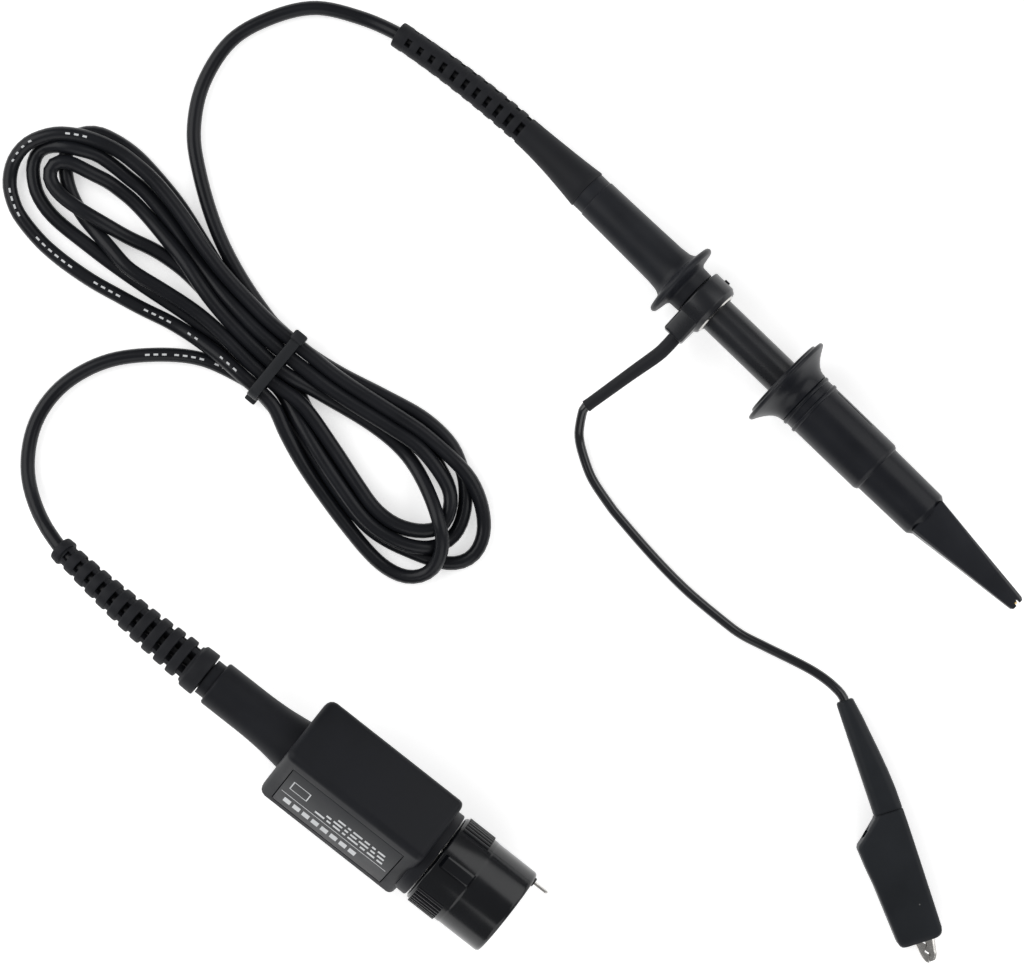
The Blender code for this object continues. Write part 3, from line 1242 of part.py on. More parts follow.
def main():
    clear_scene()
    rubber = finish("black_rubber", (0.016, 0.016, 0.018), 0.6)
    grip = finish("grip_plastic", (0.018, 0.018, 0.021), 0.42)
    gloss = finish("gloss_black", (0.009, 0.009, 0.011), 0.16)
    hook_black = finish("hook_plastic", (0.013, 0.013, 0.015), 0.3)
    box_black = finish("box_plastic", (0.016, 0.016, 0.017), 0.5)
    label_black = finish("label_field", (0.022, 0.023, 0.024), 0.45)
    sheath = finish("cable_sheath", (0.014, 0.014, 0.016), 0.35)
    wire_black = finish("lead_insulation", (0.01, 0.01, 0.012), 0.2)
    clip_rubber = finish("clip_rubber", (0.016, 0.018, 0.019), 0.5)
    tie_black = finish("tie_strap", (0.024, 0.025, 0.027), 0.5)
    nickel = finish("nickel", (0.62, 0.61, 0.58), 0.22, 1.0)
    steel = finish("spring_steel", (0.5, 0.5, 0.5), 0.3, 1.0)
    gold = finish("contact_gold", (0.83, 0.62, 0.28), 0.25, 1.0)
    white = finish("insulator_white", (0.82, 0.82, 0.8), 0.4)
    board = finish("board_green", (0.03, 0.2, 0.08), 0.4)
    ceramic = finish("resistor_body", (0.35, 0.22, 0.12), 0.5)

    layout = frame_empty("layout", (0.0, 0.0, 0.0))
    tilt = math.degrees(math.atan((FLARE_R - FLANGE_R) / FLARE_BACK))
    head_at = (*HEAD_AT, FLANGE_R * math.cos(math.radians(tilt)))
    head_turn = (0.0, -tilt, HEAD_YAW)
    head = frame_empty("head_axis", head_at, head_turn, layout)
    box_at = (*BOX_AT, box_axis_height())
    box_turn = (0.0, 0.0, BOX_YAW)
    plug = frame_empty("plug_axis", box_at, box_turn, layout)
    rolled = frame_empty("box_roll", (0.0, 0.0, 0.0), (-BOX_ROLL, 0.0, 0.0), plug)
    tie = frame_empty("tie_axis", (*TIE_AT, 0.0), (0.0, 0.0, TIE_YAW), layout)
    clip_at = (*CLIP_AT, CLIP_HALF_H)
    clip = frame_empty("clip_axis", clip_at, (0.0, 0.0, CLIP_YAW), layout)
    pivot = frame_empty("clip_hinge", (CLIP_PIVOT_AT, CLIP_PIVOT_SIDE, 0.0), parent=clip)

    make_head_boot(head, rubber)
    make_grip(head, grip)
    make_barrel(head, gloss)
    make_tip_insulator(head, white)
    make_needle(head, gold)
    make_ground_collar(head, nickel)
    make_ground_ring(head, layout, gloss)

    make_sleeve(head, hook_black)
    make_carrier(head, hook_black)
    make_hook_wire(head, gold)
    make_hook_spring(head, steel)

    make_box_boot(plug, rubber)
    make_box_body(rolled, box_black)
    make_box_cover(rolled, box_black)
    make_label_plate(rolled, label_black)
    make_circuit_board(rolled, board)
    make_trimmer(rolled, white, gold)
    make_resistor(rolled, ceramic)
    make_plug_shell(plug, nickel)
    make_plug_insulator(plug, white)
    make_plug_pin(plug, gold)
    make_bayonet_nut(plug, nickel)
    make_gasket(plug, rubber)
    make_lock_collar(plug, gloss)
    make_readout_pin(plug, nickel)
    make_readout_spring(plug, steel)

    make_cables(layout, placed(head_at, head_turn), placed(box_at, box_turn),
                placed((*TIE_AT, 0.0), (0.0, 0.0, TIE_YAW)), sheath)
    make_hank(tie, sheath)
    make_tie(tie, tie_black)

    make_lead(layout, placed(clip_at, (0.0, 0.0, CLIP_YAW)), rubber, wire_black)
    make_clip_boot(clip, clip_rubber)
    make_fixed_jaw(clip, nickel)
    jaw = make_moving_jaw(clip, nickel)
    jaw.parent = pivot
    jaw.matrix_parent_inverse = Matrix.Translation(-Vector((CLIP_PIVOT_AT, CLIP_PIVOT_SIDE, 0.0)) * MM)
    make_clip_pivot(clip, steel)
    make_clip_spring(clip, steel)

    on_the_cord = {"cable_head_run", "cable_box_run", "cable_hank", "cable_tie", "ground_lead",
                   "lead_sleeve", "clip_boot", "clip_fixed_jaw", "clip_moving_jaw", "clip_pivot",
                   "clip_spring"}
    stand_in_middle(layout, on_the_cord)


main()
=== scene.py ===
"""Oscilloscope probe on a pale table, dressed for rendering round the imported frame.

Local sizes are in millimetres and angles in degrees; MM turns them into metres.
"""
from math import atan, ceil, cos, degrees, pi, radians, sin

import bmesh
import bpy
import numpy as np
from mathutils import Matrix, Vector


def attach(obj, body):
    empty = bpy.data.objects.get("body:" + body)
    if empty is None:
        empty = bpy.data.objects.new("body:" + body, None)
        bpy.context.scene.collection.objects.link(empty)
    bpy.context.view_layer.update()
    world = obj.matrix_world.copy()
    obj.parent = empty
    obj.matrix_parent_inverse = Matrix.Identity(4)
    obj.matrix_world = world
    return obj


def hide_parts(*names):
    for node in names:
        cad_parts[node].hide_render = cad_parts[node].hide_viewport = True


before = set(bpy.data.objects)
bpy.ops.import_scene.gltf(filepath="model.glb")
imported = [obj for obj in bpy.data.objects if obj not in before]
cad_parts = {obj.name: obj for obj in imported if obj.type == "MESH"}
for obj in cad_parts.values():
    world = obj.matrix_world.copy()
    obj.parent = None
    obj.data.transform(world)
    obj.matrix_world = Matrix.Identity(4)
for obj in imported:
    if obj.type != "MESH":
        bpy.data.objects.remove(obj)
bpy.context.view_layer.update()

MM = 0.001
TAU = 2 * pi
UP = Vector((0.0, 0.0, 1.0))

# the layout as the part's source places it
SHIFT = (-4.751, 0.266, 0.0)
HEAD_AT = (34.6, 41.6)
HEAD_YAW = -44.2
FLANGE_R = 8.6
FLARE_R = 10.7
FLARE_BACK = 29.5
BOX_AT = (-0.9, -87.5)
BOX_YAW = -38.2
BOX_ROLL = 28.0
BOX_AXIS_HEIGHT = 13.912
TIE_AT = (-48.5, 24.0)
TIE_YAW = -39.3
CLIP_AT = (68.4, -44.8)
CLIP_YAW = -72.2
CLIP_HALF_H = 3.5

# camera
CAMERA_HEIGHT = 908.0
CAMERA_LENS = 154.35
SENSOR_WIDTH = 36.0

# cords
CABLE_R = 1.5
CABLE_STEP = 1.5
LEAD_R = 1.0
LEAD_STEP = 1.0
HEAD_BOOT = (-26.7, 7.3, 238.0, 180.0)
HEAD_BOOT_L = 51.0
HEAD_CABLE_FROM = 7.3
BOX_BOOT = (-78.2, 2.0, 129.0, -73.0)
BOX_BOOT_L = 40.26
BOX_CABLE_FROM = 2.0
HEAD_RUN = [
    (-31.4, 96.1, 2.2), (-40.9, 98.1, 1.6), (-50.4, 95.8, 1.55), (-58.3, 91, 1.55),
    (-63.8, 82.3, 1.55), (-65.7, 72.9, 1.55), (-64.6, 64.2, 1.6), (-61.4, 53.1, 1.8),
    (-56.7, 42.8, 2.2), (-50.8, 34.2, 2.6),
]
BOX_RUN = [
    (-97.8, -5.4, 5), (-100, 3.2, 3), (-98.3, 12.6, 1.8), (-92.8, 20.1, 1.55),
    (-84.1, 25, 1.55), (-74.1, 26.5, 1.6), (-63.9, 25.7, 2.1),
]
# the tied turns, in the tie's own frame, from the head's strand to the box's
HANK_ROUTE = [
    (-4, 6, 2.7), (0, 6, 2.7), (4, 6.1, 2.7), (12, 7, 2), (21, 9.2, 1.6), (30, 10.9, 1.55),
    (37.5, 10.4, 1.55), (42.8, 7.9, 1.55), (46.1, 5.2, 1.55), (49, 1, 1.55), (50.3, -3.2, 1.9),
    (49.6, -6.8, 2.8), (47.4, -9.7, 3.9), (43.6, -11.8, 4.4), (38.5, -12.9, 4.5), (33, -12.7, 4.5),
    (25, -10.7, 4.2), (17, -8.2, 4.1), (10, -5.4, 3.8), (4, -3.2, 2.9), (0, -3, 2.7), (-4, -3, 2.7),
    (-8, -2.9, 2.4), (-14, -3, 1.8), (-22.5, -3.4, 1.55), (-32.6, -4.4, 1.55), (-45.9, -5.2, 1.55),
    (-54.9, -5.3, 1.55), (-60.2, -4, 1.55), (-63.2, -2, 1.55), (-65.4, 0.4, 1.6),
    (-66.4, 3, 2.4), (-66, 5.1, 3.8), (-64.3, 7.2, 5.4), (-62.2, 8.6, 6.2), (-60.1, 9.5, 6.6),
    (-56.5, 10.7, 6.6), (-52.2, 10.9, 6.2), (-48.8, 10.8, 5.6), (-43.6, 10.6, 4.7), (-35.4, 8.7, 4.4),
    (-27.7, 6.4, 4.4), (-19, 4.6, 4.8), (-10, 3.2, 5.4), (-4, 3, 5.7), (0, 3, 5.7),
    (4, 3.1, 5.7), (10, 3.5, 5.4), (18, 4.7, 4.8), (26, 6.1, 4.6), (32.3, 6.6, 4.6), (38.4, 5.2, 4.6),
    (43.6, 3, 4.6), (46, 0.3, 4.6), (47.1, -3.2, 4.6), (46, -5.9, 4.6), (43.2, -8.2, 4.6),
    (39, -9.8, 4.6), (34, -9.9, 4.6), (28, -8.3, 4.6), (20, -5.8, 4.7),
    (10, -3, 5.2), (4, -2.9, 5.6), (0, -3, 5.7),
    (-4, -2.7, 5.6), (-11.4, -1.9, 5), (-19.8, -1.9, 4.6), (-28, -2.8, 4.6), (-33.5, -3.6, 4.6),
    (-37.3, -3.8, 4.4), (-42.5, -2.9, 3.6), (-46.6, -2.1, 2.2), (-50.2, -1.4, 1.6), (-53.7, -0.2, 1.55),
    (-56.3, 1.1, 1.55), (-58.7, 2.9, 1.55), (-60.9, 5.2, 1.55), (-62.4, 8, 1.55), (-62.1, 11, 1.55),
    (-59.6, 13.6, 1.55), (-56.2, 14.7, 1.55), (-52, 15.2, 1.55), (-47, 14.9, 1.55),
    (-37, 13, 1.55), (-26.6, 9.5, 1.6), (-17, 6, 2), (-9, 3.7, 2.4), (-4, 3.05, 2.7),
    (0, 3, 2.7), (4, 3, 2.7), (10, 3.7, 2.2), (18, 5.3, 1.6), (26, 6.5, 1.55), (34, 6.6, 1.55),
    (40, 4.7, 1.55), (43.6, 2.9, 1.55), (46, 0.3, 1.55), (47.1, -3.3, 1.55), (46, -6, 1.55),
    (43.2, -8.3, 1.55), (39.2, -10.1, 1.55), (34.6, -10.5, 1.55), (27, -9.1, 1.55), (19.3, -6.9, 1.6),
    (14, -5, 1.8),
    (9, -2.7, 2.2), (4.5, -0.7, 2.6), (0, 0, 2.7), (-4, 0.2, 2.7), (-9, 1.1, 2.3),
    (-13.5, 2, 2), (-20.3, 2.9, 1.6), (-27.3, 3.6, 1.55), (-34.2, 2.9, 1.7),
    (-40.7, 1.2, 2.8), (-47.4, 0, 4.4), (-52.5, -0.7, 4.6), (-56.8, -0.8, 4.6), (-60, 0, 4.6),
    (-61.5, 1.4, 4.6), (-61.9, 3, 4.6), (-61.3, 4.4, 4.6), (-59.8, 5.4, 4.6), (-57.8, 6, 4.5),
    (-55, 6.6, 4), (-51.1, 7.5, 2.8), (-47.8, 7.7, 1.8), (-44.3, 7.7, 1.6), (-38, 6.9, 1.55),
    (-30, 5.2, 1.8), (-20, 2.6, 3.6), (-10, 0.8, 5.2), (-4, 0.1, 5.7), (0, 0, 5.7),
    (4, 0.5, 5.6), (10, 2, 4.8), (17, 3, 3.8), (24, 3.5, 3.2), (30, 3.3, 3.6), (35, 2.2, 4.8),
    (40.5, -0.1, 6.9), (45.5, -3, 7.6), (49, -5.9, 7), (50.8, -9, 5.8), (51.1, -12.2, 4.8),
    (49.9, -14.9, 4.6), (47.3, -16.9, 4.5), (43.4, -17.8, 4.3), (38.5, -17.5, 4.2),
    (32, -16.1, 4.2), (24, -13.9, 4.4), (17, -11.6, 4.6),
    (10, -8.9, 5), (5, -6.6, 5.5), (0, -6, 5.7), (-4, -6, 5.7),
    (-10.6, -5.9, 5), (-16.8, -6.1, 4.2), (-23, -6.9, 2.8), (-29, -8.3, 1.8), (-34.7, -9.4, 1.55),
    (-40.2, -10.4, 1.55), (-45.1, -10.9, 1.55), (-49.7, -11.1, 1.55), (-54.9, -10.8, 1.55),
    (-61.2, -9.4, 1.6), (-64.8, -7.4, 1.9), (-66.8, -5.6, 2.3), (-68.3, -3, 3.2), (-68.9, -0.6, 4),
    (-68.8, 1.7, 4.6), (-68.2, 3.6, 4.8), (-66.9, 5.6, 4.8), (-65.1, 7.6, 4.7), (-63, 9.2, 4.6),
    (-59.7, 11.3, 4.6), (-56.3, 12.8, 4.6), (-53.2, 13.6, 4.6), (-50.3, 13.9, 4.6), (-43.6, 13.7, 4.6),
    (-35.5, 12, 4.8), (-26, 9.2, 5), (-18, 7.4, 5.2), (-9, 6.2, 5.5), (-4, 6, 5.7),
    (0, 6, 5.7), (4, 6, 5.7), (10, 5.8, 5.6), (18, 6.3, 5.2), (26, 7, 4.9), (33, 7.8, 4.7),
    (39.7, 8, 4.7), (45.5, 7.2, 4.5), (50.5, 4.7, 3.6), (54.2, 1.2, 2.4), (55.9, -2.6, 1.7),
    (55.6, -6, 1.55), (53.4, -8.8, 1.55), (49.8, -10.6, 1.55), (45.3, -12, 1.55),
    (40.8, -13.2, 1.55), (36.1, -13.7, 1.55), (31, -13.1, 1.55), (25.9, -11.8, 1.55),
    (20, -10.3, 1.7), (14, -8.8, 1.9), (7, -7.2, 2.4),
    (0, -6, 2.7), (-4, -6.05, 2.7),
]
STRAP_WIDTH = 2.3
STRAP_HALF = 7.95
STRAP_TOP = 7.5
STRAP_BEND = 2.2
# how the tied strands settle: how many rounds, how many points are held at each end, and in one round
# how far a strand sinks, how much of a lap is pushed apart, how much of that goes sideways, how much
# the later strand is lifted and how strongly each is drawn to its route
SETTLE_ROUNDS = 320
HELD_POINTS = 30
SINK_STEP = 0.03
PUSH_SHARE = 0.24
SIDE_SHARE = 0.35
LATER_LIFT = 0.2
ROUTE_PULL = 0.03
CLEAR = 0.02
# groups of dashes: distance along the cable and how many
DASH_GROUPS = [(1000.5, 3), (1010.8, 2), (1017.9, 4), (1029.7, 4), (1041.3, 6), (1056.5, 4),
               (1068.7, 4), (1081.7, 3), (1276.4, 3), (1283.2, 4), (1291.0, 3)]
DASH_PITCH = 1.75
DASH_SUNK = 0.02
SLEEVE_START = (33.4, 29.8, 8.9)
SLEEVE_END = (15.2, 15.7, 4.4)
SLEEVE_ROUTE = [(33.9, 30.4, 9.1), (32, 28.3, 8.7), (29.9, 26.3, 8.1), (24.4, 22.4, 6.7), (15.3, 15.8, 4.4)]
LEAD_ROUTE = [
    (14.4, 14.1, 3.6), (13.9, 11.2, 2.3), (13.9, 9.2, 1.7), (14.6, 6.1, 1.2), (16.5, 1, 1.05),
    (19.9, -4.2, 1.05), (22.4, -7.4, 1.05), (29.3, -15.3, 1.05), (36.1, -22.2, 1.05),
    (43.6, -28.5, 1.05), (47.4, -31.3, 1.05), (51.9, -33.6, 1.2), (59.6, -37.4, 1.8),
    (63.4, -39.6, 2.4), (66.1, -41.7, 3),
]


# places

def placed(at, turn=(0.0, 0.0, 0.0)):
    """Placement in millimetres, turned about X, then Y, then Z."""
    x, y, z = [radians(angle) for angle in turn]
    spin = Matrix.Rotation(z, 4, "Z") @ Matrix.Rotation(y, 4, "Y") @ Matrix.Rotation(x, 4, "X")
    return Matrix.Translation(Vector(at)) @ spin


LAYOUT = placed(SHIFT)
TILT = degrees(atan((FLARE_R - FLANGE_R) / FLARE_BACK))
HEAD = LAYOUT @ placed((*HEAD_AT, FLANGE_R * cos(radians(TILT))), (0.0, -TILT, HEAD_YAW))
PLUG = LAYOUT @ placed((*BOX_AT, BOX_AXIS_HEIGHT), (0.0, 0.0, BOX_YAW))
ROLLED = PLUG @ placed((0, 0, 0), (-BOX_ROLL, 0.0, 0.0))
TIE = LAYOUT @ placed((*TIE_AT, 0.0), (0.0, 0.0, TIE_YAW))
CLIP = LAYOUT @ placed((*CLIP_AT, CLIP_HALF_H), (0.0, 0.0, CLIP_YAW))


# camera

def new_object(name, data):
    thing = bpy.data.objects.new(name, data)
    bpy.context.scene.collection.objects.link(thing)
    return thing


def make_camera():
    data = bpy.data.cameras.new("view_from_above")
    data.sensor_width = SENSOR_WIDTH
    data.lens = CAMERA_LENS
    data.clip_end = 10.0
    camera = new_object("view_from_above", data)
    camera.location = (SHIFT[0] * MM, SHIFT[1] * MM, CAMERA_HEIGHT * MM)
    bpy.context.scene.camera = camera


# paths

def smooth_path(points, step):
    """Read evenly spaced points from a smooth curve through a route's own points."""
    route = [Vector(point) for point in points]
    padded = [2 * route[0] - route[1]] + route + [2 * route[-1] - route[-2]]
    fine = []
    for a, b, c, d in zip(padded, padded[1:], padded[2:], padded[3:]):
        for i in range(16):
            t = i / 16
            fine.append(0.5 * ((2 * b) + (c - a) * t + (2 * a - 5 * b + 4 * c - d) * t * t
                               + (3 * b - a - 3 * c + d) * t ** 3))
    fine.append(route[-1])
    return evenly(np.array(fine), step)


def distances(points):
    """Distance of each point along its own line."""
    return np.concatenate([[0.0], np.cumsum(np.linalg.norm(np.diff(points, axis=0), axis=1))])


def at_distance(points, along, want):
    return np.stack([np.interp(want, along, points[:, k]) for k in range(3)], axis=-1)


def evenly(points, step):
    """Space points evenly along their own line."""
    along = distances(points)
    want = np.linspace(0.0, along[-1], max(2, round(along[-1] / step)) + 1)
    return at_distance(points, along, want)


def boot_frame(front, bend_start, bend_radius, towards, s):
    """Centre of a boot and its two cross directions, a distance s behind its front end."""
    side = Vector((0.0, cos(radians(towards)), sin(radians(towards))))
    ahead = Vector((1.0, 0.0, 0.0))
    turn = max(0.0, s - bend_start) / bend_radius
    centre = ahead * (front - min(s, bend_start) - bend_radius * sin(turn))
    centre += side * bend_radius * (1 - cos(turn))
    across = ahead * sin(turn) + side * cos(turn)
    return centre, across, ahead.cross(side)


def run_from_boot(matrix, bend, length, inside, count=6):
    return [matrix @ boot_frame(*bend, inside + (length - inside) * i / count)[0]
            for i in range(count + 1)]


def settled(path):
    """Let the strands lift off each other and sink onto the table, keeping their route."""
    start = np.array(path)
    p = start.copy()
    order = np.arange(len(p))
    steps = np.subtract.outer(order, order)
    near = np.abs(steps) < ceil(3.2 * CABLE_R / CABLE_STEP) + 1
    later = np.sign(steps) * LATER_LIFT
    free = np.ones(len(p))
    free[:HELD_POINTS] = free[-HELD_POINTS:] = 0.0
    for _ in range(SETTLE_ROUNDS):
        p[:, 2] -= SINK_STEP * free
        gap = p[:, None, :] - p[None, :, :]
        far = np.sqrt((gap ** 2).sum(axis=2)) + near * 1e3 + 1e-6
        lap = np.clip(2 * CABLE_R + CLEAR - far, 0.0, None)
        way = gap * SIDE_SHARE
        way[:, :, 2] = gap[:, :, 2] + later
        way *= (lap / (np.sqrt((way ** 2).sum(axis=2)) + 1e-6))[:, :, None]
        p += way.sum(axis=1) * PUSH_SHARE * free[:, None]
        moved = p - start
        moved[:, :2] *= 1.0 - ROUTE_PULL
        for _ in range(2):
            moved[1:-1] = moved[1:-1] * 0.5 + (moved[:-2] + moved[2:]) * 0.25
        p = start + moved * free[:, None]
        p[:, 2] = np.maximum(p[:, 2], CABLE_R + CLEAR)
    return p


def cable_path():
    points = run_from_boot(HEAD, HEAD_BOOT, HEAD_BOOT_L, HEAD_CABLE_FROM)
    points += [LAYOUT @ Vector(point) for point in HEAD_RUN]
    points += [TIE @ Vector(point) for point in HANK_ROUTE]
    points += [LAYOUT @ Vector(point) for point in reversed(BOX_RUN)]
    points += reversed(run_from_boot(PLUG, BOX_BOOT, BOX_BOOT_L, BOX_CABLE_FROM))
    return evenly(settled(smooth_path(points, CABLE_STEP)), CABLE_STEP)


def lead_path():
    start, end = Vector(SLEEVE_START), Vector(SLEEVE_END)
    inward = (start - end).normalized()
    points = [end + inward * 2.0, end - inward * 0.3] + [Vector(point) for point in LEAD_ROUTE]
    points = [LAYOUT @ point for point in points] + [CLIP @ Vector((x, 0.0, 0.0)) for x in (-0.9, 1.5)]
    path = smooth_path(points, LEAD_STEP)
    path[:, 2] = np.maximum(path[:, 2], LEAD_R + CLEAR)
    return path


def round_cord(name, path, radius, material):
    curve = bpy.data.curves.new(name, "CURVE")
    curve.dimensions = "3D"
    curve.bevel_depth = radius * MM
    curve.bevel_resolution = 4
    curve.use_fill_caps = True
    spline = curve.splines.new("POLY")
    spline.points.add(len(path) - 1)
    for knot, point in zip(spline.points, path):
        knot.co = (*(Vector(point) * MM), 1.0)
    spline.use_smooth = True
    cord = new_object(name, curve)
    curve.materials.append(material)
    return cord


# materials

CLOUD_RANGE = (0.3, 0.7)
DUST_CELLS = 240.0
DUST_SHARE = (0.93, 0.94)
DUST_SIZE = (0.03, 0.07)
DUST_TONE = (0.32, 0.32, 0.32, 1.0)


def add_node(tree, kind, inputs=(), **settings):
    """Add a node. An input that is given a socket is linked to it, and any other is set."""
    node = tree.nodes.new(kind)
    for name, value in settings.items():
        setattr(node, name, value)
    for name, value in dict(inputs).items():
        if isinstance(value, bpy.types.NodeSocket):
            tree.links.new(value, node.inputs[name])
        else:
            node.inputs[name].default_value = value
    return node


def new_material(name, colour, roughness, metallic=0.0, specular=0.5):
    material = bpy.data.materials.new(name)
    material.use_nodes = True
    shader = material.node_tree.nodes["Principled BSDF"]
    shader.inputs["Base Color"].default_value = (*colour, 1.0)
    shader.inputs["Roughness"].default_value = roughness
    shader.inputs["Metallic"].default_value = metallic
    shader.inputs["Specular IOR Level"].default_value = specular
    return material, material.node_tree, shader


def object_place(tree):
    return tree.nodes.new("ShaderNodeTexCoord").outputs["Object"]


def noise(tree, place, scale, detail, roughness=0.5):
    texture = add_node(tree, "ShaderNodeTexNoise",
                       {"Vector": place, "Scale": scale, "Detail": detail, "Roughness": roughness})
    return texture.outputs["Fac"]


def ranged(tree, value, low, high, new_low, new_high):
    node = add_node(tree, "ShaderNodeMapRange", {"Value": value, "From Min": low, "From Max": high,
                                                 "To Min": new_low, "To Max": new_high})
    return node.outputs["Result"]


def tinted(tree, value, dark, light):
    ramp = add_node(tree, "ShaderNodeValToRGB", {"Fac": value})
    for stop, place, colour in zip(ramp.color_ramp.elements, CLOUD_RANGE, (dark, light)):
        stop.position = place
        stop.color = (*colour, 1.0)
    return ramp.outputs["Color"]


def bumped(tree, shader, layers):
    """Stack bumps, each a height, its strength and its depth in millimetres."""
    below = {}
    for height, strength, depth in layers:
        bump = add_node(tree, "ShaderNodeBump", {"Height": height, "Strength": strength,
                                                 "Distance": depth * MM, **below})
        below = {"Normal": bump.outputs["Normal"]}
    tree.links.new(below["Normal"], shader.inputs["Normal"])


def dusted(tree, place, tone):
    """Scatter a few tiny pale specks of dust over a tone."""
    cells = add_node(tree, "ShaderNodeTexVoronoi", {"Vector": place, "Scale": DUST_CELLS})
    pick = add_node(tree, "ShaderNodeSeparateColor", {"Color": cells.outputs["Color"]})
    few = ranged(tree, pick.outputs["Red"], *DUST_SHARE, 0.0, 1.0)
    near = ranged(tree, cells.outputs["Distance"], *DUST_SIZE, 1.0, 0.0)
    speck = add_node(tree, "ShaderNodeMath", {0: few, 1: near}, operation="MULTIPLY")
    mix = add_node(tree, "ShaderNodeMix", {"Factor": speck.outputs[0], 6: tone, 7: DUST_TONE},
                   data_type="RGBA")
    return mix.outputs[2]


def moulded(name, colour, roughness, grain, depth, spread=0.06, specular=0.22, lighter=1.35, dust=False):
    """Moulded black plastic or rubber: a fine grain, cloudy gloss and a slight change of tone."""
    material, tree, shader = new_material(name, colour, roughness, specular=specular)
    place = object_place(tree)
    fine = noise(tree, place, grain, 3.0, 0.6)
    cloud = noise(tree, place, 90.0, 3.0, 0.55)
    tone = tinted(tree, cloud, colour, [channel * lighter for channel in colour])
    if dust:
        tone = dusted(tree, place, tone)
    gloss = ranged(tree, cloud, *CLOUD_RANGE, roughness - spread, roughness + spread)
    tree.links.new(tone, shader.inputs["Base Color"])
    tree.links.new(gloss, shader.inputs["Roughness"])
    bumped(tree, shader, [(cloud, 0.15, 0.05), (fine, 0.35, depth)])
    return material


def metal(name, colour, roughness):
    """Plated metal with fine marks and a slight change of tone."""
    material, tree, shader = new_material(name, colour, roughness, metallic=1.0)
    place = object_place(tree)
    along_head = add_node(tree, "ShaderNodeMapping",
                          {"Vector": place, "Rotation": (0.0, 0.0, radians(-HEAD_YAW))})
    marks = noise(tree, along_head.outputs["Vector"], 1800.0, 4.0, 0.6)
    cloud = noise(tree, place, 260.0, 3.0)
    tone = tinted(tree, cloud, [channel * 0.82 for channel in colour], colour)
    gloss = ranged(tree, marks, *CLOUD_RANGE, roughness * 0.7, roughness * 1.5)
    tree.links.new(tone, shader.inputs["Base Color"])
    tree.links.new(gloss, shader.inputs["Roughness"])
    bumped(tree, shader, [(marks, 0.25, 0.01)])
    return material


def make_materials():
    return {
        "grip": moulded("grip_satin", (0.0098, 0.0108, 0.0139), 0.42, 2600.0, 0.012, dust=True),
        "boot": moulded("boot_rubber", (0.0078, 0.0084, 0.0106), 0.58, 2200.0, 0.02, spread=0.05),
        "gloss": moulded("barrel_gloss", (0.0062, 0.0069, 0.0092), 0.28, 900.0, 0.004, spread=0.04,
                         specular=0.45),
        "hook": moulded("hook_satin", (0.0082, 0.009, 0.0118), 0.33, 1900.0, 0.008, dust=True),
        # the nose is the same black plastic as the hook sleeve; its lighter colour is painted light,
        # standing in for the light its facets catch
        "nose": moulded("nose_satin_painted_light", (0.0122, 0.0132, 0.0165), 0.36, 1900.0, 0.008, dust=True),
        "box": moulded("box_fine_grain", (0.0078, 0.0085, 0.0108), 0.5, 2400.0, 0.02, specular=0.16),
        "label": moulded("label_film", (0.0092, 0.0102, 0.0126), 0.4, 3000.0, 0.006, specular=0.17),
        "cable": moulded("cable_vinyl", (0.0072, 0.0078, 0.0099), 0.3, 1500.0, 0.006, spread=0.05,
                         dust=True),
        "lead": moulded("lead_vinyl", (0.0058, 0.0062, 0.008), 0.15, 1400.0, 0.005, spread=0.04,
                        specular=0.6),
        "clip": moulded("clip_soft_vinyl", (0.0088, 0.0104, 0.013), 0.48, 2000.0, 0.015, dust=True),
        "strap": moulded("strap_nylon", (0.0145, 0.0158, 0.018), 0.5, 2400.0, 0.02),
        "collar": moulded("collar_gloss", (0.0037, 0.0042, 0.0055), 0.18, 1100.0, 0.004, spread=0.04,
                          specular=0.4),
        "nickel": metal("bright_nickel", (0.66, 0.645, 0.62), 0.2),
        "steel": metal("spring_steel", (0.52, 0.52, 0.52), 0.28),
        "gold": metal("gold_plate", (0.83, 0.62, 0.3), 0.22),
        "white": moulded("white_insulator", (0.62, 0.62, 0.6), 0.45, 1800.0, 0.01, lighter=1.15),
        "board": moulded("board_lacquer", (0.02, 0.12, 0.05), 0.35, 1500.0, 0.01),
        "print": moulded("pale_print", (0.55, 0.56, 0.57), 0.6, 3000.0, 0.003, lighter=1.15),
        "ceramic": moulded("resistor_lacquer", (0.22, 0.13, 0.07), 0.4, 1500.0, 0.01),
    }


CAD_FINISH = {
    "grip": ("head_grip",),
    "boot": ("head_boot", "box_boot", "lead_sleeve", "plug_gasket"),
    "gloss": ("probe_barrel", "ground_ring"),
    "hook": ("hook_sleeve", "hook_carrier"),
    "box": ("box_body", "box_cover"),
    "label": ("label_plate",),
    "cable": ("cable_head_run", "cable_box_run", "cable_hank"),
    "lead": ("ground_lead",),
    "clip": ("clip_boot",),
    "strap": ("cable_tie",),
    "collar": ("lock_collar",),
    "nickel": ("ground_collar", "plug_shell", "bayonet_nut", "readout_pin", "clip_fixed_jaw",
               "clip_moving_jaw"),
    "steel": ("hook_spring", "readout_spring", "clip_spring", "clip_pivot"),
    "gold": ("hook_wire", "probe_needle", "plug_centre_pin", "trimmer_rotor"),
    "white": ("tip_insulator", "plug_insulator", "trimmer_body"),
    "board": ("circuit_board",),
    "ceramic": ("series_resistor",),
}


def dress_cad_nodes(finishes):
    for finish, nodes in CAD_FINISH.items():
        for node in nodes:
            for slot in bpy.data.objects[node].material_slots:
                slot.material = finishes[finish]


# mesh makers, in a local frame in millimetres

def shaded(mesh, angle=32.0):
    """Shade a mesh smooth, with its edges past an angle left sharp."""
    mesh.shade_smooth()
    mesh.set_sharp_from_angle(angle=radians(angle))
    return mesh


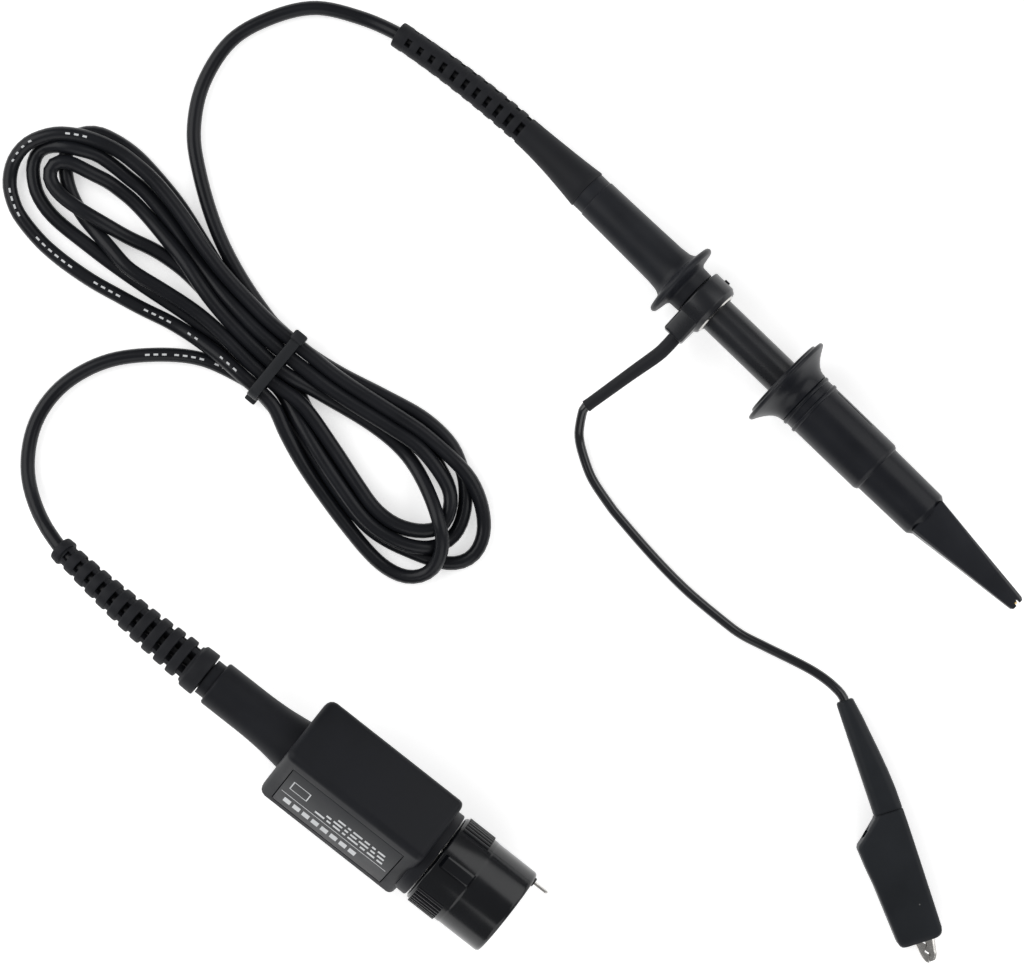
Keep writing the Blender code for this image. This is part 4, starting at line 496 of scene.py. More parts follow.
def placed_mesh(name, bm, matrix):
    """Turn a local mesh into one that stands in its place in the scene."""
    bmesh.ops.recalc_face_normals(bm, faces=bm.faces)
    bmesh.ops.transform(bm, matrix=Matrix.Scale(MM, 4) @ matrix, verts=bm.verts)
    mesh = bpy.data.meshes.new(name)
    bm.to_mesh(mesh)
    bm.free()
    return mesh


def keep(name, bm, matrix, material, body, replaced, smooth):
    """Put a mesh in place, with its object at the origin, on its body."""
    bmesh.ops.remove_doubles(bm, verts=bm.verts, dist=0.0005)
    return add_piece(name, shaded(placed_mesh(name, bm, matrix), smooth), material, body, replaced)


def add_piece(name, mesh, material, body, replaced):
    if not mesh.materials:
        mesh.materials.append(material)
    piece = new_object(name, mesh)
    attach(piece, body)
    if replaced:
        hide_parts(*replaced)
    return piece


def eased(profile, steps=4):
    """Round the corners of an outline of (place, radius, rounding) points."""
    points = [Vector(corner[:2]) for corner in profile]
    outline = []
    for i, corner in enumerate(profile):
        here = points[i]
        r = corner[2] if len(corner) > 2 else 0.0
        if not r:
            outline.append(tuple(here))
            continue
        back, ahead = points[i - 1] - here, points[(i + 1) % len(points)] - here
        reach = min(r, back.length * 0.48, ahead.length * 0.48)
        a, b = here + back.normalized() * reach, here + ahead.normalized() * reach
        for k in range(steps + 1):
            t = k / steps
            outline.append(tuple(a * (1 - t) ** 2 + here * 2 * t * (1 - t) + b * t * t))
    return outline


def turned(name, profile, matrix, material, body, replaced, segments):
    """Turn a closed outline about the X axis and keep it."""
    return keep(name, turned_mesh(profile, segments), matrix, material, body, replaced, 32.0)


def circle(radius, count):
    return [(radius * cos(TAU * k / count), radius * sin(TAU * k / count)) for k in range(count)]


def at_place(x, outline):
    return [(x, y, z) for y, z in outline]


def turned_mesh(profile, segments):
    bm = bmesh.new()
    rings = []
    for place, radius in eased(profile):
        around = circle(radius, segments) if radius >= 1e-4 else [(0.0, 0.0)]
        rings.append([bm.verts.new(point) for point in at_place(place, around)])
    for near, far in zip(rings, rings[1:] + rings[:1]):
        join_rings(bm, near, far)
    return bm


def join_rings(bm, near, far):
    if len(near) == len(far) == 1:
        return
    count = max(len(near), len(far))
    for k in range(count):
        n = (k + 1) % count
        corners = [near[k % len(near)], near[n % len(near)], far[n % len(far)], far[k % len(far)]]
        bm.faces.new([c for i, c in enumerate(corners) if c not in corners[:i]])


def lofted_mesh(sections, bm=None):
    """Join closed loops of points one after another and close both ends."""
    bm = bm or bmesh.new()
    rings = [[bm.verts.new(point) for point in section] for section in sections]
    for near, far in zip(rings, rings[1:]):
        join_rings(bm, near, far)
    bm.faces.new(rings[0])
    bm.faces.new(rings[-1])
    return bm


def rounded_block(low, high, rounding, segments=3, bm=None):
    """Box with round edges, by itself or added to a mesh."""
    bm = bm or bmesh.new()
    made = bmesh.ops.create_cube(bm, size=1.0)["verts"]
    size, middle = Vector(high) - Vector(low), (Vector(high) + Vector(low)) / 2
    bmesh.ops.scale(bm, vec=size, verts=made)
    bmesh.ops.translate(bm, vec=middle, verts=made)
    edges = list({edge for vertex in made for edge in vertex.link_edges})
    bmesh.ops.bevel(bm, geom=edges, offset=rounding, segments=segments, profile=0.5, affect="EDGES")
    return bm


def rounded_outline(x0, y0, x1, y1, radius, steps=6):
    r = min(radius, (x1 - x0) / 2 - 0.01, (y1 - y0) / 2 - 0.01)
    points = []
    for cx, cy, start in ((x1 - r, y1 - r, 0), (x0 + r, y1 - r, 90), (x0 + r, y0 + r, 180),
                          (x1 - r, y0 + r, 270)):
        for k in range(steps + 1):
            a = radians(start + 90 * k / steps)
            points.append((cx + r * cos(a), cy + r * sin(a)))
    return points


def cut(piece, tool_mesh, matrix, operation="DIFFERENCE"):
    """Cut or join a helper shape and keep the result as a plain mesh."""
    tool = new_object("helper_shape", placed_mesh("helper_shape", tool_mesh, matrix))
    step = piece.modifiers.new("helper_shape", "BOOLEAN")
    step.operation = operation
    step.solver = "EXACT"
    step.object = tool
    mesh = evaluated_mesh(piece)
    piece.modifiers.clear()
    materials = list(piece.data.materials)
    piece.data = mesh
    if not any(mesh.materials):
        mesh.materials.clear()
        for material in materials:
            mesh.materials.append(material)
    shaded(mesh)
    bpy.data.objects.remove(tool, do_unlink=True)


def evaluated_mesh(thing):
    depsgraph = bpy.context.evaluated_depsgraph_get()
    return bpy.data.meshes.new_from_object(thing.evaluated_get(depsgraph))


# Geometry Nodes trees

def new_tree(name, sizes):
    """Tree with a geometry input, named numbers, a material and a geometry output."""
    tree = bpy.data.node_groups.new(name, "GeometryNodeTree")
    tree.interface.new_socket("Geometry", in_out="INPUT", socket_type="NodeSocketGeometry")
    for size in sizes:
        kind = "NodeSocketInt" if size.startswith("Number") else "NodeSocketFloat"
        tree.interface.new_socket(size, in_out="INPUT", socket_type=kind)
    tree.interface.new_socket("Material", in_out="INPUT", socket_type="NodeSocketMaterial")
    tree.interface.new_socket("Geometry", in_out="OUTPUT", socket_type="NodeSocketGeometry")
    return tree, tree.nodes.new("NodeGroupInput").outputs


def attribute(tree, name, kind):
    node = add_node(tree, "GeometryNodeInputNamedAttribute", {"Name": name}, data_type=kind)
    return node.outputs["Attribute"]


def close_tree(tree, given, instances):
    """Realise the instances, shade them smooth and give them their material."""
    real = add_node(tree, "GeometryNodeRealizeInstances", {0: instances})
    shade = add_node(tree, "GeometryNodeSetShadeSmooth", {0: real.outputs[0]})
    coat = add_node(tree, "GeometryNodeSetMaterial",
                    {"Geometry": shade.outputs[0], "Material": given["Material"]})
    add_node(tree, "NodeGroupOutput", {"Geometry": coat.outputs[0]})
    return tree


def ribs_tree():
    """Rounded rings strung on a path, each as wide as its point says."""
    tree, given = new_tree("ribs_along_path", ("Rib Width", "Rib Depth", "Number of Sides"))
    line = add_node(tree, "GeometryNodeMeshToCurve", {"Mesh": given["Geometry"]})
    spots = add_node(tree, "GeometryNodeCurveToPoints", {"Curve": line.outputs[0]}, mode="EVALUATED")
    around = add_node(tree, "GeometryNodeCurvePrimitiveCircle",
                      {"Radius": 1.0, "Resolution": given["Number of Sides"]})
    square = add_node(tree, "GeometryNodeCurvePrimitiveQuadrilateral", {"Width": 1.0, "Height": 1.0})
    section = add_node(tree, "GeometryNodeFilletCurve",
                       {"Curve": square.outputs[0], "Count": 3, "Radius": 0.22}, mode="POLY")
    flat = add_node(tree, "ShaderNodeCombineXYZ",
                    {"X": given["Rib Depth"], "Y": given["Rib Width"], "Z": 1.0})
    soft = add_node(tree, "GeometryNodeTransform",
                    {"Geometry": section.outputs[0], "Scale": flat.outputs[0]})
    ring = add_node(tree, "GeometryNodeCurveToMesh",
                    {"Curve": around.outputs[0], "Profile Curve": soft.outputs[0]})
    radius = attribute(tree, "rib_radius", "FLOAT")
    scale = add_node(tree, "ShaderNodeCombineXYZ", {"X": radius, "Y": radius, "Z": MM})
    put = add_node(tree, "GeometryNodeInstanceOnPoints",
                   {"Points": spots.outputs["Points"], "Instance": ring.outputs[0],
                    "Rotation": spots.outputs["Rotation"], "Scale": scale.outputs[0]})
    return close_tree(tree, given, put.outputs[0])


def bars_tree(shape):
    """Small bars on points, each turned as its point says. A rod is round, a slab is flat."""
    tree, given = new_tree(f"{shape}_bars_on_points", ("Length", "Width", "Height"))
    if shape == "rod":
        bar = add_node(tree, "GeometryNodeMeshCylinder",
                       {"Vertices": 16, "Radius": given["Width"], "Depth": given["Length"]})
    else:
        size = add_node(tree, "ShaderNodeCombineXYZ",
                        {"X": given["Width"], "Y": given["Height"], "Z": given["Length"]})
        bar = add_node(tree, "GeometryNodeMeshCube", {"Size": size.outputs[0]})
    put = add_node(tree, "GeometryNodeInstanceOnPoints",
                   {"Points": given["Geometry"], "Instance": bar.outputs["Mesh"],
                    "Rotation": attribute(tree, "bar_turn", "FLOAT_VECTOR")})
    return close_tree(tree, given, put.outputs[0])


def grown(name, tree, points, edges, said, sizes, material, body):
    """Run a tree on points, in metres, and keep what it makes as a plain mesh.

    said is an attribute: its name, its kind and its value at each point.
    """
    mesh = bpy.data.meshes.new(name)
    mesh.from_pydata([tuple(point) for point in points], edges, [])
    key, kind, values = said
    data = mesh.attributes.new(key, kind, "POINT").data
    for item, value in zip(data, values):
        setattr(item, "value" if kind == "FLOAT" else "vector", value)
    seed = new_object(name + "_seed", mesh)
    step = seed.modifiers.new("grown", "NODES")
    step.node_group = tree
    sockets = {item.name: item.identifier for item in tree.interface.items_tree if item.in_out == "INPUT"}
    for size, value in {**sizes, "Material": material}.items():
        step[sockets[size]] = value
    made = evaluated_mesh(seed)
    bpy.data.objects.remove(seed, do_unlink=True)
    made.name = name
    if key in made.attributes:
        made.attributes.remove(made.attributes[key])
    return add_piece(name, shaded(made, 35.0), material, body, ())


# strain relief boots

BOOT_BORE_R = 1.75
BOOT_SLOT = 1.3
BOOT_ROWS = 11
BOOT_COLUMNS = 60
RIB_DEPTH = 0.24
RIB_SIDES = 64


def boot_skin(node, bend, rows, bore, windows, opening, turn, matrix, material):
    """Skin of a boot whose slots are windows through its wall, four to a row.

    rows and bore hold (distance, radius). windows holds the pair of outer and inner rows of each slot.
    opening is how many degrees the first and the last window take. turn swings them round the boot.
    """
    facing = 90.0 - bend[3] + turn
    open_columns = []
    for k in range(len(windows)):
        wide = opening[0] + (opening[1] - opening[0]) * k / (len(windows) - 1)
        open_columns.append({j for j in range(BOOT_COLUMNS)
                             if abs((360.0 * (j + 0.5) / BOOT_COLUMNS + 45.0) % 90.0 - 45.0) < wide / 2})
    bm = bmesh.new()

    def ring(s, radius):
        centre, across, over = boot_frame(*bend, s)
        made = []
        for j in range(BOOT_COLUMNS):
            a = radians(facing + 360.0 * j / BOOT_COLUMNS)
            made.append(bm.verts.new(centre + radius * (cos(a) * across + sin(a) * over)))
        return made

    outer = [ring(*row) for row in rows]
    inner = [ring(*row) for row in bore]
    for which, layer in enumerate((outer, inner)):
        opened = {window[which]: columns for window, columns in zip(windows, open_columns)}
        for k, (near, far) in enumerate(zip(layer, layer[1:])):
            for j in range(BOOT_COLUMNS):
                if j not in opened.get(k, ()):
                    n = (j + 1) % BOOT_COLUMNS
                    bm.faces.new((near[j], near[n], far[n], far[j]))
    for (o, i), columns in zip(windows, open_columns):
        for j in columns:
            n = (j + 1) % BOOT_COLUMNS
            for a, b in ((outer[o], inner[i]), (outer[o + 1], inner[i + 1])):
                bm.faces.new((a[j], a[n], b[n], b[j]))
            for side, beside in ((j, j - 1), (n, n)):
                if beside % BOOT_COLUMNS not in columns:
                    bm.faces.new((outer[o][side], outer[o + 1][side], inner[i + 1][side], inner[i][side]))
    for end in (0, -1):
        join_rings(bm, outer[end], inner[end])
    keep(node + "_skin", bm, matrix, material, "probe", (node,), 40.0)


def boot_ribs(node, tree, bend, places, width, radius_at, matrix, material):
    """Rounded ribs between a boot's slots."""
    points = [matrix @ boot_frame(*bend, s)[0] * MM for s in places]
    radii = [radius_at(s) * MM for s in places]
    edges = [(k, k + 1) for k in range(len(points) - 1)]
    sizes = {"Rib Width": width, "Rib Depth": RIB_DEPTH, "Number of Sides": RIB_SIDES}
    grown(node + "_ribs", tree, points, edges, ("rib_radius", "FLOAT", radii), sizes, material, "probe")


def slotted(rows, bore, first, pitch, web, radius_at):
    """Add a boot's slots to its rows and its bore, and say where each one is."""
    windows = []
    for k in range(BOOT_ROWS):
        start = first + k * pitch
        stop = start + BOOT_SLOT
        windows.append((len(rows), len(bore)))
        rows += [(start, radius_at(start) - web), (stop, radius_at(stop) - web)]
        bore += [(start, BOOT_BORE_R), (stop, BOOT_BORE_R)]
    return windows


def make_head_boot(finishes, tree):
    smooth_l, pitch, web = 18.0, 2.9, 0.07

    def radius_at(s):
        if s < smooth_l:
            return 3.1 + 1.4 * (1 - s / smooth_l) ** 1.6
        return 3.1 - 0.35 * (s - smooth_l) / (HEAD_BOOT_L - smooth_l)

    rows = [(0.0, 4.2), (0.12, 4.38)]
    rows += [(s, radius_at(s)) for s in (smooth_l * k / 12 + 0.3 for k in range(12))]
    rows += [(smooth_l - 0.3, radius_at(smooth_l)), (smooth_l - 0.05, radius_at(smooth_l) - web * 0.7)]
    bore = [(0.0, 3.3), (7.6, 3.3), (8.0, BOOT_BORE_R)]
    windows = slotted(rows, bore, smooth_l, pitch, web, radius_at)
    last = smooth_l + BOOT_ROWS * pitch - (pitch - BOOT_SLOT)
    rows += [(last + 0.15, radius_at(last) - 0.05), (last + 0.4, radius_at(last) + 0.03),
             (HEAD_BOOT_L - 0.35, 2.78), (HEAD_BOOT_L - 0.08, 2.68), (HEAD_BOOT_L, 2.45)]
    bore.append((HEAD_BOOT_L, BOOT_BORE_R))
    boot_skin("head_boot", HEAD_BOOT, rows, bore, windows, (60.0, 36.0), 14.0, HEAD, finishes["boot"])
    places = [smooth_l + BOOT_SLOT + (pitch - BOOT_SLOT) / 2 + k * pitch for k in range(BOOT_ROWS - 1)]
    boot_ribs("head_boot", tree, HEAD_BOOT, places, 1.8, lambda s: radius_at(s) - 0.34, HEAD,
              finishes["boot"])


def make_box_boot(finishes, tree):
    pitch, web, rise, collar = 3.26, 0.24, 0.35, 2.0

    def radius_at(s):
        return 4.6 - 2.2 * s / BOX_BOOT_L

    rows = [(0.0, 4.7), (0.08, 4.88), (0.25, 4.96), (1.5, 4.96), (2.9, 4.9), (3.2, 4.84), (3.4, 4.6),
            (3.5, 4.4)]
    bore = [(0.0, 3.3), (2.3, 3.3), (2.7, BOOT_BORE_R)]
    first = collar + pitch - BOOT_SLOT
    windows = slotted(rows, bore, first, pitch, web, radius_at)
    end = BOX_BOOT_L - 2.0
    rows += [(end, radius_at(end) - web), (end + 0.1, radius_at(end) + rise * 0.7),
             (end + 0.3, radius_at(end) + rise), (BOX_BOOT_L - 0.35, 2.75), (BOX_BOOT_L - 0.08, 2.65),
             (BOX_BOOT_L, 2.4)]
    bore.append((BOX_BOOT_L, BOOT_BORE_R))
    boot_skin("box_boot", BOX_BOOT, rows, bore, windows, (72.0, 54.0), 0.0, PLUG, finishes["boot"])
    places = [first - (pitch - BOOT_SLOT) / 2 + k * pitch for k in range(1, BOOT_ROWS)]
    boot_ribs("box_boot", tree, BOX_BOOT, places, 2.15, lambda s: radius_at(s) - 0.3, PLUG,
              finishes["boot"])


# head

def make_grip(finishes):
    bore = 4.2
    profile = [(-33.7, 0.8), (-33.7, 3.0, 0.3), (-26.68, 3.0), (-26.68, 4.24, 0.05), (-24.15, 4.22),
               (-24.05, 4.4, 0.12), (-12.0, 4.62), (-4.5, 4.8), (-2.2, 5.05, 0.5), (-1.15, 5.6, 0.4),
               (-0.62, 8.35, 0.3), (0.0, 8.75, 0.45), (0.62, 8.35, 0.3), (1.15, 5.6, 0.4),
               (1.6, 5.0, 0.3), (4.0, 4.93, 0.12), (4.0, bore), (-10.0, bore), (-10.0, 0.8)]
    turned("grip_body", profile, HEAD, finishes["grip"], "probe", ("head_grip",), 112)


def make_barrel(finishes):
    profile = [(-9.7, 2.6), (-9.7, 3.9, 0.1), (45.6, 3.9), (46.0, 3.6, 0.15), (46.0, 2.6)]
    turned("barrel_tube", profile, HEAD, finishes["gloss"], "probe", ("probe_barrel",), 96)
    profile = [(4.3, 4.2), (4.3, 4.9, 0.1), (9.8, 4.9), (10.2, 4.5, 0.15), (10.2, 4.2)]
    turned("ground_band", profile, HEAD, finishes["nickel"], "probe", ("ground_collar",), 96)


def make_ring(finishes):
    back, flat = 4.3, 8.9
    profile = [(back, 5.0), (back, 6.1, 0.35), (flat, 6.1, 0.12), (flat + 1.0, 5.4, 0.15),
               (flat + 1.0, 5.0, 0.05)]
    bm = turned_mesh(profile, 96)
    lug = ((-3.5, 4.4, 0.0), (-5.0, 3.95, 0.0), (-7.0, 3.2, 0.0), (-8.9, 2.6, 0.0), (-9.3, 2.5, 0.08),
           (-9.5, 2.3, 0.3))
    sections = []
    for y, half, inset in lug:
        outline = rounded_outline(back + 0.05 + inset, -half, back + 4.85 - inset, half, 0.6, 4)
        sections.append([(x, y, z) for x, z in outline])
    lofted_mesh(sections, bm)
    rounded_block((6.6, 5.9, -0.6), (7.8, 6.45, 0.6), 0.14, bm=bm)
    keep("ring_and_lug", bm, HEAD, finishes["gloss"], "ground_lead_set", ("ground_ring",), 32.0)
    path = smooth_path([LAYOUT @ Vector(point) for point in SLEEVE_ROUTE], 1.2)
    radii = np.interp(np.linspace(0.0, 1.0, len(path)), (0.0, 0.3, 0.6, 0.97, 1.0),
                      (1.45, 1.45, 1.33, 1.25, 1.3))
    sections = []
    for k, (point, radius) in enumerate(zip(path, radii)):
        lean = Vector(path[min(k + 1, len(path) - 1)] - path[max(k - 1, 0)]).normalized()
        side = lean.cross(UP).normalized()
        over = side.cross(lean)
        sections.append([Vector(point) + float(radius) * (c * side + s * over)
                         for c, s in circle(1.0, 32)])
    keep("lead_collar", lofted_mesh(sections), Matrix(), finishes["boot"], "ground_lead_set",
         ("lead_sleeve",), 40.0)


# hook tip

def make_sleeve(finishes):
    flare = [(30.5 + 4.5 * t, 6.25 + 4.05 * (1 - t) ** 2.3)
             for t in (0.12, 0.25, 0.4, 0.55, 0.7, 0.85, 1.0)]
    profile = [(28.9, 8.5, 0.1), (28.9, 9.0, 0.2), (29.5, 9.25, 0.05), (29.5, 10.45, 0.25),
               (29.8, 10.7, 0.25), (30.3, 10.6, 0.3)] + flare
    for place in (35.6, 37.9):
        profile += [(place - 0.5, 6.06), (place - 0.25, 6.36, 0.12), (place + 0.25, 6.36, 0.12),
                    (place + 0.5, 6.05)]
    profile += [(40.0, 6.05), (54.9, 6.03, 0.15), (55.5, 5.75, 0.1), (55.75, 5.42, 0.05), (56.0, 5.4),
                (69.0, 5.25, 0.3), (70.15, 4.42, 0.2), (70.2, 3.0), (69.3, 3.0), (69.3, 4.2), (55.5, 4.2),
                (55.5, 5.2), (33.1, 5.2), (31.6, 5.7, 0.5), (30.3, 7.6, 0.5)]
    sleeve = turned("hook_tip_sleeve", profile, HEAD, finishes["hook"], "hook_sleeve", ("hook_sleeve",),
                    112)
    cut(sleeve, rounded_block((39.2, 5.1, 2.15), (48.9, 6.6, 2.55), 0.05, 1), HEAD)
    sections = [at_place(place, faceted(half, 0.88, right, soft)) for place, half, right, soft in
                ((69.6, 4.33, 0.97, 0.12), (74.0, 3.86, 0.93, 0.12), (80.0, 3.22, 0.86, 0.12),
                 (87.0, 2.5, 0.76, 0.12), (93.8, 1.8, 0.62, 0.12), (94.9, 1.66, 0.6, 0.15),
                 (95.4, 1.3, 0.6, 0.15))]
    nose = keep("hook_tip_nose", lofted_mesh(sections), HEAD, finishes["nose"], "hook_sleeve", (), 24.0)
    for low, high in (((69.0, -0.65, -0.65), (97.0, 0.65, 0.65)),
                      ((94.2, -0.65, -3.0), (97.0, 0.65, 0.0)),
                      ((94.5, -0.4, 0.2), (97.0, 0.5, 3.0))):
        cut(nose, rounded_block(low, high, 0.1, 1), HEAD)


def faceted(half, left, right, soft):
    """Outline with a flat top and a sloping facet down each side."""
    y0, y1 = -half * left, half * right
    z0, z1 = half * (1 - 1.5 * (1 - left)), half * (1 - 1.5 * (1 - right))
    corners = [(half, z1), (y1, half), (y0, half), (-half, z0), (-half, -z0), (y0, -half), (y1, -half),
               (half, -z1)]
    return eased([(y, z, soft) for y, z in corners], 3)


def make_carrier(finishes):
    profile = [(32.0, 4.2), (32.0, 4.85, 0.15), (47.0, 4.85, 0.2), (47.0, 3.6), (56.6, 3.6),
               (57.0, 3.2, 0.15), (57.0, 0.8), (46.3, 0.8), (46.3, 4.2)]
    turned("tip_carrier", profile, HEAD, finishes["hook"], "hook_tip", ("hook_carrier",), 80)


# clip

TOOTH_PITCH = 2.2
TEETH_FROM = 43.0


def clip_section(x, right, left, half, softness):
    """Section of the cover at one place, not the same to the left as to the right."""
    radius = min(half, (right + left) / 2) * softness
    return at_place(x, rounded_outline(-left, -half, right, half, radius, 6))


def make_clip_boot(finishes):
    rows = [(0.0, 1.7, 1.45, 1.45, 1.0), (0.25, 1.93, 1.68, 1.68, 1.0), (0.7, 2.0, 1.73, 1.75, 1.0),
            (4.0, 2.6, 1.7, 2.02, 0.9), (8.0, 3.15, 1.64, 2.38, 0.8), (12.0, 3.7, 1.56, 2.66, 0.7),
            (16.0, 4.18, 1.5, 2.86, 0.6), (20.0, 4.52, 1.44, 2.98, 0.55), (23.6, 4.62, 1.38, 3.02, 0.5),
            (24.3, 4.63, 1.4, 3.04, 0.45), (24.36, 4.5, 1.3, 2.78, 0.45), (24.6, 4.5, 1.36, 2.8, 0.42),
            (24.65, 4.64, 1.5, 3.4, 0.4), (25.1, 4.65, 1.75, 3.5, 0.36),
            (26.6, 4.68, 3.4, 3.5, 0.32), (28.4, 4.7, 5.4, 3.5, 0.3), (29.2, 4.71, 6.4, 3.5, 0.3),
            (29.9, 4.72, 6.75, 3.5, 0.3), (34.0, 4.74, 6.4, 3.5, 0.3), (38.2, 4.75, 5.85, 3.5, 0.3),
            (45.0, 4.77, 5.32, 3.5, 0.3), (50.2, 4.78, 4.9, 3.5, 0.3), (51.0, 4.6, 4.78, 3.48, 0.32),
            (51.5, 4.35, 4.6, 3.42, 0.36), (51.85, 3.95, 4.3, 3.3, 0.4), (52.0, 3.6, 4.05, 3.15, 0.42)]
    outside = lofted_mesh([clip_section(*row) for row in rows])
    boot = keep("clip_cover", outside, CLIP, finishes["clip"], "ground_lead_set", ("clip_boot",), 40.0)
    room = [(26.9, 3.85, 4.4, 2.5), (29.5, 3.92, 5.6, 2.7), (38.2, 3.95, 4.95, 2.7),
            (49.0, 3.9, 4.15, 2.7), (53.0, 3.15, 3.8, 2.6)]
    cut(boot, lofted_mesh([clip_section(*row, 0.4) for row in room]), CLIP)
    cut(boot, rod_mesh((23.2, -4.1, 0.0), (30.2, -4.1, 0.0), 1.1, 24), CLIP)
    cut(boot, rod_mesh((-1.0, 0.0, 0.0), (27.5, 0.9, 0.0), 1.02, 24), CLIP)


def make_jaws(finishes):
    """Two folded channels with interleaved teeth along the edges that meet."""
    def teeth(x):
        if x <= TEETH_FROM:
            return 0.42
        return 0.42 + 0.45 * (abs((x / TOOTH_PITCH) % 1.0 - 0.5) * 4 - 1)

    sheet = 0.35
    jaws = (("clip_jaw_fixed", "ground_lead_set", "clip_fixed_jaw", 1.9, 0.1, 0.0,
             ((28.0, 3.3), (44.0, 3.3), (52.0, 2.8), (55.4, 2.2), (56.1, 1.9), (56.4, 1.5))),
            ("clip_jaw_moving", "clip_jaw", "clip_moving_jaw", 1.2, -0.12, 0.38,
             ((29.0, -4.6), (34.0, -3.4), (44.0, -2.5), (52.0, -1.5), (55.4, -0.95), (56.1, -0.6),
              (56.6, -0.2))))
    for name, body, node, high, gap, lag, back in jaws:
        away = 1.0 if gap > 0 else -1.0
        wall = sheet * away
        first, last = back[0][0], back[-1][0]
        places = [first + (TEETH_FROM - first) * k / 6 for k in range(6)]
        places += [TEETH_FROM + (last - TEETH_FROM) * k / 56 for k in range(57)]
        sections = []
        for x in places:
            out = float(np.interp(x, *zip(*back)))
            edge = teeth(x - lag) + gap
            edge = min(edge, out - 0.5) if away > 0 else max(edge, out + 0.5)
            corners = [(out, high, 0.8), (out, -high, 0.8), (edge, -high), (edge, sheet - high),
                       (out - wall, sheet - high, 0.5), (out - wall, high - sheet, 0.5),
                       (edge, high - sheet), (edge, high)]
            sections.append(at_place(x, eased(corners, 5)))
        keep(name, lofted_mesh(sections), CLIP, finishes["nickel"], body, (node,), 40.0)


def rod_mesh(start, end, radius, sides):
    start, end = Vector(start), Vector(end)
    turn = (end - start).to_track_quat("X", "Z")
    return lofted_mesh([[centre + turn @ Vector(point) for point in at_place(0.0, circle(radius, sides))]
                        for centre in (start, end)])


# plug box

def make_box(finishes):
    half_w, half_t, corner = 8.15, 12.5, 1.7
    sections = []
    for place, inset in ((-55.4, 1.75), (-55.25, 1.05), (-54.9, 0.52), (-54.35, 0.17), (-53.6, 0.0),
                         (-38.0, 0.0), (-22.1, 0.0), (-21.6, 0.06), (-21.15, 0.28), (-20.82, 0.72),
                         (-20.7, 1.3)):
        sections.append(at_place(place, rounded_outline(inset - half_w, inset - half_t, half_w - inset,
                                                        half_t - inset, corner - inset * 0.5, 8)))
    box = keep("box_shell", lofted_mesh(sections), ROLLED, finishes["box"], "probe", ("box_body",), 32.0)
    stem = [(-80.0, 0.0), (-80.0, 3.0, 0.2), (-77.9, 3.0), (-77.9, 4.05, 0.1), (-75.8, 4.05),
            (-75.8, 4.7, 0.15), (-75.45, 5.0, 0.2), (-70.0, 5.0), (-64.4, 5.0, 2.0), (-60.0, 5.25, 2.0),
            (-57.2, 5.6, 1.0), (-55.2, 5.85), (-54.6, 5.85), (-54.6, 0.0)]
    cut(box, turned_mesh(stem, 96), ROLLED, "UNION")
    disc = [(-21.6, 0.0), (-21.6, 9.7), (-20.7, 10.0, 0.3), (-19.05, 10.0, 0.25), (-18.8, 9.75, 0.15),
            (-18.8, 0.0)]
    cut(box, turned_mesh(disc, 112), ROLLED, "UNION")
    for low, high in (((-53.6, -6.35, -8.5), (-22.5, 9.0, 8.5)),
                      ((-54.6, 6.25, -9.5), (-21.5, 9.0, 9.5)),
                      ((-52.4, -9.2, -9.7), (-24.0, -7.6, 8.7))):
        cut(box, rounded_block(low, high, 0.3, 2), ROLLED)
    cut(box, rod_mesh((-23.5, 0, 0), (-17.5, 0, 0), 4.35, 48), ROLLED)
    lid = keep("box_lid", rounded_block((-54.3, 6.55, -9.2), (-21.8, 8.15, 9.2), 0.25, 2), ROLLED,
               finishes["box"], "probe", ("box_cover",), 32.0)
    cut(lid, rod_mesh((-38.0, 5.0, 0.0), (-38.0, 10.0, 0.0), 1.7, 32), ROLLED)
    keep("label_field_plate", rounded_block((-52.2, -8.15, -9.5), (-24.2, -7.6, 8.5), 0.12, 2), ROLLED,
         finishes["label"], "probe", ("label_plate",), 32.0)


def make_label_bars(finishes):
    """Plain light bars in place of the printed label."""
    bars = [(-51.6, -24.8, -3.2, 0.22)]
    bars += [(-50.2 + 2.4 * k, -48.5 + 2.4 * k, -6.0, 2.1) for k in range(8)]
    for level, first, lengths in ((-1.3, -43.6, (2.4, 1.0, 1.8, 0.8, 2.6, 1.2, 1.9, 1.4)),
                                  (0.6, -41.2, (1.2, 2.2, 0.9, 1.6, 2.4, 1.1, 1.7)),
                                  (2.5, -38.8, (1.9, 0.8, 2.3, 1.3, 0.9, 1.8))):
        for length in lengths:
            bars.append((first, first + length, level, 0.85))
            first += length + 0.6
    bars += [(-50.6, -46.2, 0.0, 0.25), (-50.6, -46.2, 4.0, 0.25)]
    bars += [(-50.6, -50.35, 2.0, 4.0), (-46.45, -46.2, 2.0, 4.0)]
    bm = bmesh.new()
    for start, stop, level, width in bars:
        rounded_block((start, -8.19, level - width / 2), (stop, -8.1, level + width / 2), 0.03, 1, bm)
    keep("label_bars", bm, ROLLED, finishes["print"], "probe", (), 32.0)


# locking collar

COLLAR_RIBS = 15


